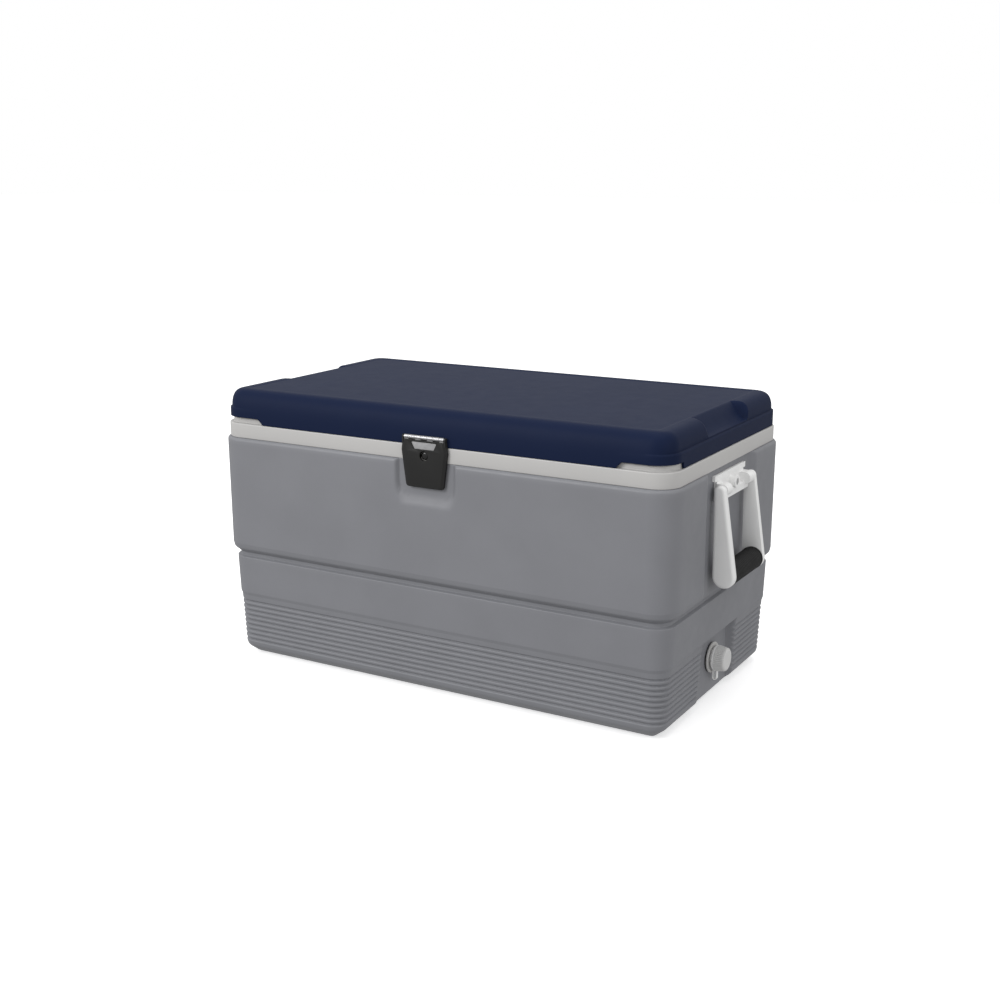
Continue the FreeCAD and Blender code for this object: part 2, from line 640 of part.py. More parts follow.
# ---------------------------------------------------------------- latch

LID_TABS = ((-24.7, -14.5), (-5, 5), (14.5, 24.7))
LATCH_SCREWS = ("-22", "0", "22")
PLATE_TABS = ((-31.5, -25), (-14.2, -5.3), (5.3, 14.2), (25, 31.5))


def latch_leaf(label, y_front, y_back, low, tabs, screw_spots=()):
    """One steel leaf of the latch hinge; between its tabs it stops short of the barrel."""
    pieces = [box(("-leaf_half", y_front, low), ("leaf_half", y_back, "latch_z-latch_barrel-0.5"))]
    for start, end in tabs:
        pieces.append(box((str(start), y_front, low), (str(end), y_back, "latch_z+0.4")))
        pieces.append(cylinder("latch_barrel", str(end - start), (str(start), "-latch_y", "latch_z"),
                               ALONG_X))
    bores = [cylinder("latch_pin+run_gap", "70", ("-35", "-latch_y", "latch_z"), ALONG_X)]
    for mid in screw_spots:
        bores.append(cylinder("leaf_screw", "6", (mid, "(%s)-2" % y_front, "leaf_screw_z"), ALONG_Y))
    return cut(fuse(pieces), fuse(bores) if screw_spots else bores[0], label)


def make_latch():
    body = new_body("latch_plate")
    outline = [("-latch_half_low", "latch_low"), ("latch_half_low", "latch_low"),
               ("latch_half_wide", "latch_wide_z"), ("latch_half_top", "latch_high"),
               ("-latch_half_top", "latch_high"), ("-latch_half_wide", "latch_wide_z")]
    extrude(body, polygon(body, "front", "latch_back", outline), "latch_front-latch_back")
    fillet(body, "8", lambda e: e.BoundBox.ZMax < number("latch_low+1") and e.BoundBox.YLength > 4)
    fillet(body, "1.2", lambda e: e.BoundBox.YMax < -number("latch_front-0.1")
           and e.BoundBox.ZMin < number("latch_high-1"))
    pocket = centred_box(body, "front", "latch_back", "leaf_half+0.5", "latch_pocket_low", "latch_high+1")
    extrude(body, pocket, "latch_front-latch_back-latch_skin", add=False, back=False)
    channel = centred_box(body, "front", "latch_back", "stud_room", "latch_low-1", "stud_z")
    extrude(body, channel, "latch_front-latch_back-latch_skin", add=False, back=False)
    crown = circles(body, "front", "latch_back", [("0", "stud_z", "stud_room")])
    extrude(body, crown, "latch_front-latch_back-latch_skin", add=False, back=False)
    hole = circles(body, "front", "latch_back", [("0", "stud_z", "stud_hole")])
    extrude(body, hole, "10", add=False, back=False)
    window = polygon(body, "front", "latch_back", [
        ("-window_half_low", "window_low"), ("window_half_low", "window_low"),
        ("window_half_top", "window_top"), ("-window_half_top", "window_top")])
    extrude(body, window, "10", add=False, back=False)
    for _, side in SIDES:
        start = "latch_cheek" if side > 0 else "-latch_half_top"
        horn = circles(body, "end", start, [("-latch_y", "latch_z", "latch_barrel+0.2")])
        extrude(body, horn, "latch_half_top-latch_cheek")
        cheek = polygon(body, "end", start, [
            ("-latch_front", "latch_high-2"), ("-latch_back", "latch_high-2"),
            ("-latch_y+1", "latch_z"), ("-latch_front", "latch_z")])
        extrude(body, cheek, "latch_half_top-latch_cheek")
    keep(body)
    leaf_face = "-half_width+rim_inset-0.5"
    keep(latch_leaf("latch_leaf_lid", leaf_face, leaf_face + "+leaf_steel", "skirt_low+1.4", LID_TABS,
                    LATCH_SCREWS))
    keep(latch_leaf("latch_leaf_plate", "-latch_front+latch_skin", "-latch_front+latch_skin+leaf_steel",
                    "latch_pocket_low+0.4", PLATE_TABS))
    pin_start = ("-latch_cheek+0.3", "-latch_y", "latch_z")
    keep(named(cylinder("latch_pin", "latch_cheek*2-0.6", pin_start, ALONG_X), "latch_hinge_pin"))
    screws = []
    for mid in LATCH_SCREWS:
        screws.append(cylinder("leaf_screw+1", "0.35", (mid, leaf_face + "-0.35", "leaf_screw_z"), ALONG_Y))
        screws.append(cylinder("leaf_screw", "4.6", (mid, leaf_face, "leaf_screw_z"), ALONG_Y))
    keep(fuse(screws, "latch_leaf_screws"))
    # the domed stud that the latch snaps over
    face = "-half_width+rim_inset"
    dome = doc.addObject("Part::Ellipsoid", "dome")
    dome.setExpression("Radius1", bound("stud_radius/4"))
    dome.setExpression("Radius2", bound("stud_radius"))
    dome.setExpression("Radius3", bound("stud_radius"))
    place(dome, ("0", face + "-stud_reach", "stud_z"), ALONG_Y)
    head = cylinder("stud_radius", "0.8", ("0", face + "-stud_reach", "stud_z"), ALONG_Y)
    neck = cylinder("stud_neck", "12", ("0", face + "-stud_reach+0.6", "stud_z"), ALONG_Y)
    base = cylinder("stud_radius+1", "0.7", ("0", face + "-0.7", "stud_z"), ALONG_Y)
    keep(fuse([dome, head, neck, base], "keeper_stud"))


# ---------------------------------------------------------------- handles

def arm_sketch(body, side, offset):
    """A blade between two circles joined by their outer tangents."""
    sketch = new_sketch(body, "front", offset)
    top = FreeCAD.Vector(side * number("pivot_x"), number("pivot_z"), 0)
    low = FreeCAD.Vector(side * number("grip_x"), number("grip_z"), 0)
    big, small = number("arm_low_radius"), number("arm_top_radius")
    run = top - low
    lean = math.atan2(run.y, run.x)
    half = math.acos((big - small) / run.Length)
    spot = lambda c, r, a: c + FreeCAD.Vector(r * math.cos(a), r * math.sin(a), 0)
    up = FreeCAD.Vector(0, 0, 1)
    sketch.addGeometry(Part.ArcOfCircle(Part.Circle(top, up, small), lean - half, lean + half), False)
    sketch.addGeometry(Part.LineSegment(spot(top, small, lean + half), spot(low, big, lean + half)), False)
    sketch.addGeometry(Part.ArcOfCircle(Part.Circle(low, up, big), lean + half,
                                        lean - half + 2 * math.pi), False)
    sketch.addGeometry(Part.LineSegment(spot(low, big, lean - half), spot(top, small, lean - half)), False)
    for first, second in ((0, 1), (1, 2), (2, 3), (3, 0)):
        sketch.addConstraint(Sketcher.Constraint("Tangent", first, 2, second, 1))
    bind(sketch, "Radius", 0, "arm_top_radius")
    bind(sketch, "Radius", 2, "arm_low_radius")
    bind(sketch, "DistanceX", -1, 1, 0, 3, "%d*pivot_x" % side)
    bind(sketch, "DistanceY", -1, 1, 0, 3, "pivot_z")
    bind(sketch, "DistanceX", -1, 1, 2, 3, "%d*grip_x" % side)
    bind(sketch, "DistanceY", -1, 1, 2, 3, "grip_z")
    return sketch


def make_arm(word, side, end_word, end):
    body = new_body("handle_arm_%s_%s" % (word, end_word))
    inner = "%d*arm_inner" % -end
    extrude(body, arm_sketch(body, side, inner), "arm_outer-arm_inner", back=end > 0)
    outer_face = end * number("arm_outer")
    fillet(body, "3", lambda e: abs(e.BoundBox.YMin - outer_face) < 1e-3
           and abs(e.BoundBox.YMax - outer_face) < 1e-3)
    for x, z, radius, depth in (("pivot_x", "pivot_z", "pivot_pin+run_gap", "9.4"),
                                ("grip_x", "grip_z", "rod_radius", "6")):
        hole = circles(body, "front", inner, [("%d*%s" % (side, x), z, radius)])
        extrude(body, hole, depth, add=False, back=end > 0)
    return body


def span_y(end, start, stop):
    """The lower end of a length that lies between two stations on one side of the middle."""
    return start if end > 0 else "-" + stop


def make_bracket(word, side):
    wall_face = "half_length-dish_depth"
    front = wall_face + "+bracket_plate"

    def block(start, stop, low_y, high_y, low_z, high_z):
        low, high = ((start, stop) if side > 0 else ("-(%s)" % stop, "-(%s)" % start))
        return box((low, low_y, low_z), (high, high_y, high_z))

    def bar(radius, start, stop):
        low = start if side > 0 else "-(%s)" % stop
        return cylinder(radius, "(%s)-(%s)" % (stop, start), (low, "0", "boss_z"), ALONG_X)

    pieces = [block(wall_face, front, "-bracket_half", "bracket_half", "bracket_low", "bracket_top"),
              block(wall_face, front, "-head_half", "head_half", "bracket_top-0.6", "head_top"),
              block(front, "pivot_x", "-bracket_half", "bracket_half", "shelf_low", "shelf_top")]
    bores = []
    for _, end in ENDS:
        low, high = span_y(end, "barrel_start", "barrel_end"), span_y(end, "barrel_end", "barrel_start")
        pieces.append(cylinder("barrel_radius", "barrel_end-barrel_start",
                               ("%d*pivot_x" % side, low, "pivot_z"), ALONG_Y))
        pieces.append(block(front, "pivot_x", low, high, "pivot_z-barrel_radius",
                            "pivot_z+barrel_radius"))
        bore_start = span_y(end, "pin_start", "barrel_end-0.4")
        bores.append(cylinder("pivot_pin", "barrel_end+0.4-pin_start",
                              ("%d*pivot_x" % side, bore_start, "pivot_z"), ALONG_Y))
    pieces.append(bar("boss_radius", front, "boss_face"))
    bores += [bar("wood_screw_head+0.1", "boss_face-boss_sink", "boss_face+1"),
              bar("wood_screw", "half_length-20", "boss_face+3")]
    return cut(fuse(pieces), fuse(bores), "handle_bracket_" + word)


def make_handles():
    screws = []
    for word, side in SIDES:
        keep(make_bracket(word, side))
        for end_word, end in ENDS:
            keep(make_arm(word, side, end_word, end))
        x = "%d*grip_x" % side
        sleeve = cylinder("grip_radius", "arm_inner*2", (x, "-arm_inner", "grip_z"), ALONG_Y)
        hole = cylinder("rod_radius", "arm_inner*2+2", (x, "-arm_inner-1", "grip_z"), ALONG_Y)
        keep(cut(sleeve, hole, "grip_sleeve_" + word))
        keep(named(cylinder("rod_radius", "arm_inner*2+12", (x, "-arm_inner-6", "grip_z"), ALONG_Y),
                   "grip_rod_" + word))
        pins = [cylinder("pivot_pin", "pin_end-pin_start",
                         ("%d*pivot_x" % side, span_y(end, "pin_start", "pin_end"), "pivot_z"), ALONG_Y)
                for _, end in ENDS]
        keep(fuse(pins, "handle_pivot_pins_" + word))
        seat = "%d*(boss_face-boss_sink)" % side
        head, shank = (seat, seat + "-wood_screw_length") if side > 0 else (seat + "-1.6", seat)
        screws.append(cylinder("wood_screw_head", "1.6", (head, "0", "boss_z"), ALONG_X))
        screws.append(cylinder("wood_screw", "wood_screw_length", (shank, "0", "boss_z"), ALONG_X))
    keep(fuse(screws, "bracket_screws"))


# ---------------------------------------------------------------- drain

def drain_bar(radius, start, length):
    """A cylinder on the drain's axis, its start measured outward from the pocket's floor."""
    return cylinder(radius, length, ("half_length-drain_pocket_depth+(%s)" % start, "0", "drain_height"),
                    ALONG_X)


def make_drain():
    floor = "half_length-drain_pocket_depth"
    keep(ring_x("flange_radius-1", "tube_radius", floor, floor + "+gasket_thick", "drain_gasket"))
    spout = fuse([drain_bar("flange_radius", "gasket_thick", "flange_thick"),
                  drain_bar("neck_radius", "gasket_thick", "neck_length"),
                  drain_bar("tube_radius", "-tube_reach", "tube_reach+gasket_thick")])
    keep(cut(spout, drain_bar("bore_radius", "-tube_reach-4", "tube_reach*2"), "drain_spout"))
    nut = floor + "-tube_reach"
    keep(ring_x("nut_radius", "tube_radius", nut, nut + "+nut_thick", "drain_inner_nut"))
    # screw cap with grip ribs
    body = new_body("drain_cap")
    rim = floor + "+cap_start"
    grip = rim + "+collar_length"
    extrude(body, circles(body, "end", rim, [("0", "drain_height", "cap_collar")]), "cap_length")
    extrude(body, circles(body, "end", grip, [("0", "drain_height", "cap_radius")]),
            "cap_length-collar_length")
    fillet(body, "2", lambda e: e.BoundBox.XMin > number(rim + "+cap_length") - 0.1)
    hollow = circles(body, "end", rim, [("0", "drain_height", "neck_radius+0.35")])
    extrude(body, hollow, "cap_hollow", add=False, back=False)
    notch = circles(body, "end", grip, [("0", "drain_height+cap_radius+0.3", "1")])
    groove = extrude(body, notch, "cap_length-collar_length-1.6", add=False, back=False)
    pattern = body.newObject("PartDesign::PolarPattern", "ribs")
    pattern.Originals = [groove]
    line = body.newObject("Sketcher::SketchObject", "axis_sketch")
    line.AttachmentSupport = [o for o in body.Origin.OriginFeatures if o.Role == "XZ_Plane"][0]
    line.MapMode = "FlatFace"
    height = number("drain_height")
    line.addGeometry(Part.LineSegment(FreeCAD.Vector(0, height, 0), FreeCAD.Vector(100, height, 0)), True)
    line.addConstraint(Sketcher.Constraint("Horizontal", 0))
    bind(line, "DistanceY", -1, 1, 0, 1, "drain_height")
    line.addConstraint(Sketcher.Constraint("DistanceX", -1, 1, 0, 1, 0.0))
    line.addConstraint(Sketcher.Constraint("DistanceX", 0, 1, 0, 2, 100.0))
    pattern.Axis = (line, ["Axis0"])
    pattern.Angle = 360
    pattern.Occurrences = 30
    body.Tip = pattern
    keep(body)
    keep(named(drain_bar("neck_radius", "gasket_thick+neck_length+0.5", "1.2"), "drain_cap_seal"))
    # tether: a loose ring on the neck, another round the cap's collar, and a strap hanging between them
    neck_ring = cut(drain_bar("tether_ring", "5", "tether_thick"),
                    drain_bar("neck_radius+0.4", "4", "tether_thick*3"))
    cap_ring = cut(drain_bar("collar_ring", "8.4", "3.2"),
                   drain_bar("cap_collar+collar_ring_gap", "7", "6"))
    strand = lambda start, top: box((floor + start, "-strap_half", "strap_low"),
                                    (floor + start + "+tether_thick", "strap_half", top))
    turn = (floor + "+5+strap_bend", "-strap_half", "strap_low")
    inner_turn = (floor + "+5+strap_bend", "-strap_half-1", "strap_low")
    bend = cut(cylinder("strap_bend", "strap_half*2", turn, ALONG_Y),
               fuse([cylinder("strap_bend-tether_thick", "strap_half*2+2", inner_turn, ALONG_Y),
                     box((floor + "+4", "-strap_half-1", "strap_low"),
                         (floor + "+13", "strap_half+1", "strap_low+5"))]))
    strands = [strand("+5", "drain_height-13"), strand("+5+strap_bend*2-tether_thick", "drain_height-16")]
    keep(fuse([neck_ring, cap_ring, bend] + strands, "drain_tether"))


keep(make_outer_hull(), make_tub(), make_hull_foam())
keep(make_lid_shell(), make_lid_panel(), make_lid_foam())
make_back_hinges()
make_latch()
make_handles()
make_drain()
doc.recompute()

for item in doc.Objects:
    if "Invalid" in item.State or "Error" in item.State:
        raise RuntimeError("failed object: %s %s" % (item.Label, item.State))
for item in kept:
    if item.Shape.isNull() or not item.Shape.isValid():
        raise RuntimeError("bad shape: %s" % item.Label)

os.makedirs("parts", exist_ok=True)
for item in kept:
    item.Shape.exportStep("parts/%s.step" % item.Label)
    bounds = item.Shape.BoundBox
    print("%-28s %9.0f mm3  x %7.1f %7.1f  y %7.1f %7.1f  z %6.1f %6.1f  solids %d" % (
        item.Label, item.Shape.Volume, bounds.XMin, bounds.XMax, bounds.YMin, bounds.YMax,
        bounds.ZMin, bounds.ZMax, len(item.Shape.Solids)))
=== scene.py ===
import math

import bmesh
import bpy
from mathutils import Matrix, Vector


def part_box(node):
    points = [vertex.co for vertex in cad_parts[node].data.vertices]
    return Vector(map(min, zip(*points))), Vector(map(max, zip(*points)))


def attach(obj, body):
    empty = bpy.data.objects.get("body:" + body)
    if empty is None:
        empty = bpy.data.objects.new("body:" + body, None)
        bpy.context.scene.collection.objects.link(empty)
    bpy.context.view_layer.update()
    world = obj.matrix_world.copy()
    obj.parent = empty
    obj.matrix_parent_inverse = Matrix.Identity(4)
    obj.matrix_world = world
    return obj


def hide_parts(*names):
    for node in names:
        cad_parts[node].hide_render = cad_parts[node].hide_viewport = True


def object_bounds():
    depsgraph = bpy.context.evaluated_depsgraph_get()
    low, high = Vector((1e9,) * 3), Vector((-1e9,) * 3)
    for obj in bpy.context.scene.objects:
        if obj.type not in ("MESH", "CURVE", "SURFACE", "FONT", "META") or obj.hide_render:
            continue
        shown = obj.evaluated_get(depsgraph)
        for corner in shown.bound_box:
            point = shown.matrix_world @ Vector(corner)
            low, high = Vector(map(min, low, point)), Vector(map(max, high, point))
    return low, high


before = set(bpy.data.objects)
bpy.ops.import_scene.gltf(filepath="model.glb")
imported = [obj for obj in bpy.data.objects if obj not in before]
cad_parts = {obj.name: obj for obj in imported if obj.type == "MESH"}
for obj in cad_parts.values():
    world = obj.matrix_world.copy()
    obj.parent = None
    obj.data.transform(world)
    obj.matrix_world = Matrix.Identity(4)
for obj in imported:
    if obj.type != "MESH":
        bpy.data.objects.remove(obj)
CAD_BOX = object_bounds()

# Every size below is in millimetres and becomes metres when a mesh is made.
MM = 0.001


def node_box(node):
    """The lowest and highest corner of a CAD node, in millimetres."""
    low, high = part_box(node)
    return low / MM, high / MM


HALF_LENGTH, HALF_WIDTH, HULL_TOP = node_box("outer_hull")[1]
LIP_TOP = node_box("inner_tub")[1].z
LID_LOW, LID_HIGH = node_box("lid_shell")
CAP_LOW, CAP_HIGH = node_box("drain_cap")
GRIP_LOW, GRIP_HIGH = node_box("grip_sleeve_right")
PLATE_LOW, PLATE_HIGH = node_box("latch_plate")

# CORNER is the hull's plan corner radius at its widest level, and TIGHTEST is the least that a level has.
CORNER = 36.5
TIGHTEST = 6.0
WALL = 3.0
RIM_INSET = HALF_WIDTH - LID_HIGH.y
RIM_EDGE = LID_LOW.z - 0.3
DRAIN_Z = (CAP_LOW.z + CAP_HIGH.z) / 2
POCKET_FLOOR = node_box("drain_gasket")[0].x
DISH_FLOOR = node_box("handle_bracket_right")[0].x
SIDES = (("right", 1), ("left", -1))
ENDS = (("front", -1), ("rear", 1))


# ------------------------------------------------------------------ curves

def soft_min(a, b, width):
    """The smaller of two values, blended where they are closer than width."""
    gap = max(width - abs(a - b), 0.0) / width
    return min(a, b) - gap * gap * width / 4


def soft_max(a, b, width):
    """The larger of two values, blended where they are closer than width."""
    return -soft_min(-a, -b, width)


def ease(t):
    """A smooth step from 0 to 1."""
    t = min(max(t, 0.0), 1.0)
    return t * t * (3 - 2 * t)


def along(points, x):
    """Height of an outline, given as (x, height) from left to right, at x."""
    if x <= points[0][0]:
        return points[0][1]
    for (x0, h0), (x1, h1) in zip(points, points[1:]):
        if x <= x1:
            return h0 + (h1 - h0) * (x - x0) / (x1 - x0)
    return points[-1][1]


def rounded(corners, steps=4, closed=False):
    """An outline through (u, v, radius) corners, with an arc at each corner that has a radius."""
    points = []
    count = len(corners)
    for k, (u, v, radius) in enumerate(corners):
        here = Vector((u, v))
        if not radius or (not closed and k in (0, count - 1)):
            points.append(here)
            continue
        before = Vector(corners[k - 1][:2]) - here
        after = Vector(corners[(k + 1) % count][:2]) - here
        turn = before.angle(after)
        reach = min(radius / math.tan(turn / 2), before.length * 0.49, after.length * 0.49)
        start, end = here + before.normalized() * reach, here + after.normalized() * reach
        middle = (before.normalized() + after.normalized()).normalized()
        centre = here + middle * (reach / math.cos(turn / 2))
        spoke, sweep = start - centre, (start - centre).angle_signed(end - centre)
        for step in range(steps + 1):
            points.append(centre + Matrix.Rotation(-sweep * step / steps, 2) @ spoke)
    return points


def divided(points, step_at):
    """The outline with extra points, so that no run is longer than step_at(middle of the run)."""
    finer = [points[0]]
    for a, b in zip(points, points[1:]):
        parts = max(1, math.ceil((b - a).length / step_at((a + b) / 2)))
        finer += [a.lerp(b, k / parts) for k in range(1, parts + 1)]
    return finer


def marks(*runs):
    """Places out from the middle of a side, as (end, step) runs, mirrored to both halves."""
    half, place = [0.0], 0.0
    for end, step in runs:
        parts = max(1, round((end - place) / step))
        half += [place + (end - place) * k / parts for k in range(1, parts + 1)]
        place = end
    return [-m for m in reversed(half[1:])] + half


# ------------------------------------------------------------------ meshes

def shown(name, mesh):
    """A mesh as an object in the scene."""
    piece = bpy.data.objects.new(name, mesh)
    bpy.context.scene.collection.objects.link(piece)
    return piece


def merge_doubles(mesh, distance, outward=False):
    """Make one point of points closer than distance, and turn the faces outward if asked."""
    merged = bmesh.new()
    merged.from_mesh(mesh)
    bmesh.ops.remove_doubles(merged, verts=merged.verts, dist=distance)
    if outward:
        bmesh.ops.recalc_face_normals(merged, faces=merged.faces)
    merged.to_mesh(mesh)
    merged.free()


def new_piece(name, points, faces, smooth=True):
    """A mesh object from points in millimetres."""
    mesh = bpy.data.meshes.new(name)
    mesh.from_pydata([tuple(c * MM for c in p) for p in points], [], faces)
    mesh.validate()
    mesh.update()
    merge_doubles(mesh, 1e-6, outward=True)
    if smooth:
        mesh.shade_smooth()
    return shown(name, mesh)


def apply(piece):
    """Turn the piece's modifiers into its mesh."""
    graph = bpy.context.evaluated_depsgraph_get()
    mesh = bpy.data.meshes.new_from_object(piece.evaluated_get(graph))
    piece.modifiers.clear()
    piece.data = mesh
    return piece


def carve(piece, cutter):
    """Cut one piece out of another."""
    modifier = piece.modifiers.new("carve", "BOOLEAN")
    modifier.object, modifier.operation, modifier.solver = cutter, "DIFFERENCE", "EXACT"
    apply(piece)
    bpy.data.objects.remove(cutter)
    return piece


def soften(piece, width, segments=3, angle=32):
    """Round the piece's sharp edges."""
    thin = piece.modifiers.new("thin", "DECIMATE")
    thin.decimate_type, thin.angle_limit = "DISSOLVE", math.radians(1.0)
    modifier = piece.modifiers.new("soften", "BEVEL")
    modifier.width, modifier.segments = width * MM, segments
    modifier.limit_method, modifier.angle_limit = "ANGLE", math.radians(angle)
    apply(piece)
    piece.data.shade_smooth()
    weighted = piece.modifiers.new("shade", "WEIGHTED_NORMAL")
    weighted.keep_sharp = True
    return apply(piece)


def join(name, pieces):
    """Several pieces as one object."""
    whole = bmesh.new()
    for piece in pieces:
        whole.from_mesh(piece.data)
        bpy.data.objects.remove(piece)
    mesh = bpy.data.meshes.new(name)
    whole.to_mesh(mesh)
    whole.free()
    mesh.shade_smooth()
    return shown(name, mesh)


def prism(name, outline, place, low, high):
    """A solid from an outline: place(u, v, depth) gives its points, from depth low to high."""
    count = len(outline)
    points = [place(u, v, low) for u, v in outline] + [place(u, v, high) for u, v in outline]
    faces = [tuple(range(count - 1, -1, -1)), tuple(range(count, 2 * count))]
    faces += [(k, (k + 1) % count, count + (k + 1) % count, count + k) for k in range(count)]
    return new_piece(name, points, faces, smooth=False)


def stacked(name, rings, smooth=True):
    """A closed solid through outlines that all have the same number of points."""
    count, last = len(rings[0]), (len(rings) - 1) * len(rings[0])
    points = [p for ring in rings for p in ring]
    faces = [tuple(range(count)), tuple(last + k for k in range(count))]
    faces += [(r * count + k, r * count + (k + 1) % count, (r + 1) * count + (k + 1) % count,
               (r + 1) * count + k) for r in range(len(rings) - 1) for k in range(count)]
    return new_piece(name, points, faces, smooth)


def crisp(piece, angle=32):
    """Smooth shading with a hard line at every edge sharper than an angle."""
    piece.data.shade_smooth()
    piece.data.set_sharp_from_angle(angle=math.radians(angle))
    return piece


def turned(name, outline, place, segments=64, shape=None):
    """A solid of revolution from (distance along the axis, radius) points.

    An outline that doesn't come back to its first point is capped at both ends. shape(distance, radius,
    angle) gives another radius, and place(distance, u, v) gives a point its place.
    """
    points, faces = [], []
    for a, r in outline:
        for k in range(segments):
            angle = 2 * math.pi * k / segments
            radius = shape(a, r, angle) if shape else r
            points.append(place(a, radius * math.cos(angle), radius * math.sin(angle)))
    for row in range(len(outline) - 1):
        for k in range(segments):
            nxt = (k + 1) % segments
            faces.append((row * segments + k, row * segments + nxt,
                          (row + 1) * segments + nxt, (row + 1) * segments + k))
    last = (len(outline) - 1) * segments
    if outline[0] != outline[-1]:
        faces.append(tuple(range(segments)))
        faces.append(tuple(last + k for k in range(segments)))
    return new_piece(name, points, faces)


def along_x(x, z):
    """Places for a solid of revolution about a line along x."""
    return lambda a, u, v: (x + a, u, z + v)


def along_y(x, z, y=0.0):
    """Places for a solid of revolution about a line along y."""
    return lambda a, u, v: (x + u, y + a, z + v)


def copied(node, name):
    """A new mesh with the shape of a CAD node, for finer edges."""
    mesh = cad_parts[node].data.copy()
    merge_doubles(mesh, 2e-6)
    return shown(name, mesh)


# ------------------------------------------------------------------ swept mouldings

# Within KEEP of the middle of a side, the columns stand still as the plan shrinks.
KEEP = 105.0
CORNER_STEPS = 12
OUTWARD = ((0, -1), (1, 0), (0, 1), (-1, 0))
FORWARD = ((1, 0), (0, 1), (-1, 0), (0, -1))


def columns(front, end, back):
    """The columns of a moulding's grid, in order round its plan, with an arc at each corner."""
    made = []
    for side, places in enumerate((front, end, back, end)):
        made += [(side, place, places[-1], None) for place in places]
        made += [(side, 0.0, 0.0, math.pi / 2 * k / CORNER_STEPS) for k in range(1, CORNER_STEPS)]
    return made


def plan_point(section, column):
    """Where a column meets a level. Places near the middle of a side stay put as the plan shrinks."""
    z, half_x, half_y, radius = section
    side, place, reference, angle = column
    outward, forward = Vector(OUTWARD[side]), Vector(FORWARD[side])
    depth, half = (half_y, half_x) if side % 2 == 0 else (half_x, half_y)
    if angle is not None:
        spot = outward * (depth - radius) + forward * (half - radius)
        spot += (outward * math.cos(angle) + forward * math.sin(angle)) * radius
    else:
        if abs(place) > KEEP:
            share = (half - radius - KEEP) / (reference - KEEP)
            place = math.copysign(KEEP + (abs(place) - KEEP) * share, place)
        spot = outward * depth + forward * place
    return Vector((spot.x, spot.y, z))


def section(z, inset, end_inset=None, radius=None):
    """One level of a moulding: height, half length, half width and plan corner radius."""
    end_inset = inset if end_inset is None else end_inset
    return z, HALF_LENGTH - end_inset, HALF_WIDTH - inset, radius or max(CORNER - inset, TIGHTEST)


def swept(name, sections, grid, shape):
    """A closed moulding through its sections; shape(point, row) moves each point to its place."""
    count = len(grid)
    points = [shape(plan_point(level, column), row)
              for row, level in enumerate(sections) for column in grid]
    faces = [tuple(range(count)), tuple((len(sections) - 1) * count + k for k in range(count))]
    for row in range(len(sections) - 1):
        for k in range(count):
            nxt = (k + 1) % count
            faces.append((row * count + k, row * count + nxt,
                          (row + 1) * count + nxt, (row + 1) * count + k))
    return new_piece(name, points, faces)


def outside(a, b, radius):
    """Distance outside a rounded corner region whose sides are a = 0 and b = 0."""
    a, b = a + radius, b + radius
    reach = math.hypot(max(a, 0.0), max(b, 0.0)) + min(max(a, b), 0.0) - radius
    return max(reach, 0.0)


# ------------------------------------------------------------------ materials

# Pointiness is 0.5 on a flat face, more on an edge and less in a hollow.
EDGE_FROM, EDGE_TO = 0.515, 0.58
HOLLOW_FROM, HOLLOW_TO = 0.485, 0.44
TONE_PATCH, WEAR_PATCH, GLOSS_PATCH = 0.09, 0.006, 0.02
GRAIN_DEPTH = 0.0002


def map_range(nodes, links, value, low, high, to_low, to_high):
    """Nodes that map a value from low..high to to_low..to_high."""
    node = nodes.new("ShaderNodeMapRange")
    for key, number in (("From Min", low), ("From Max", high), ("To Min", to_low), ("To Max", to_high)):
        node.inputs[key].default_value = number
    links.new(value, node.inputs["Value"])
    return node.outputs["Result"]


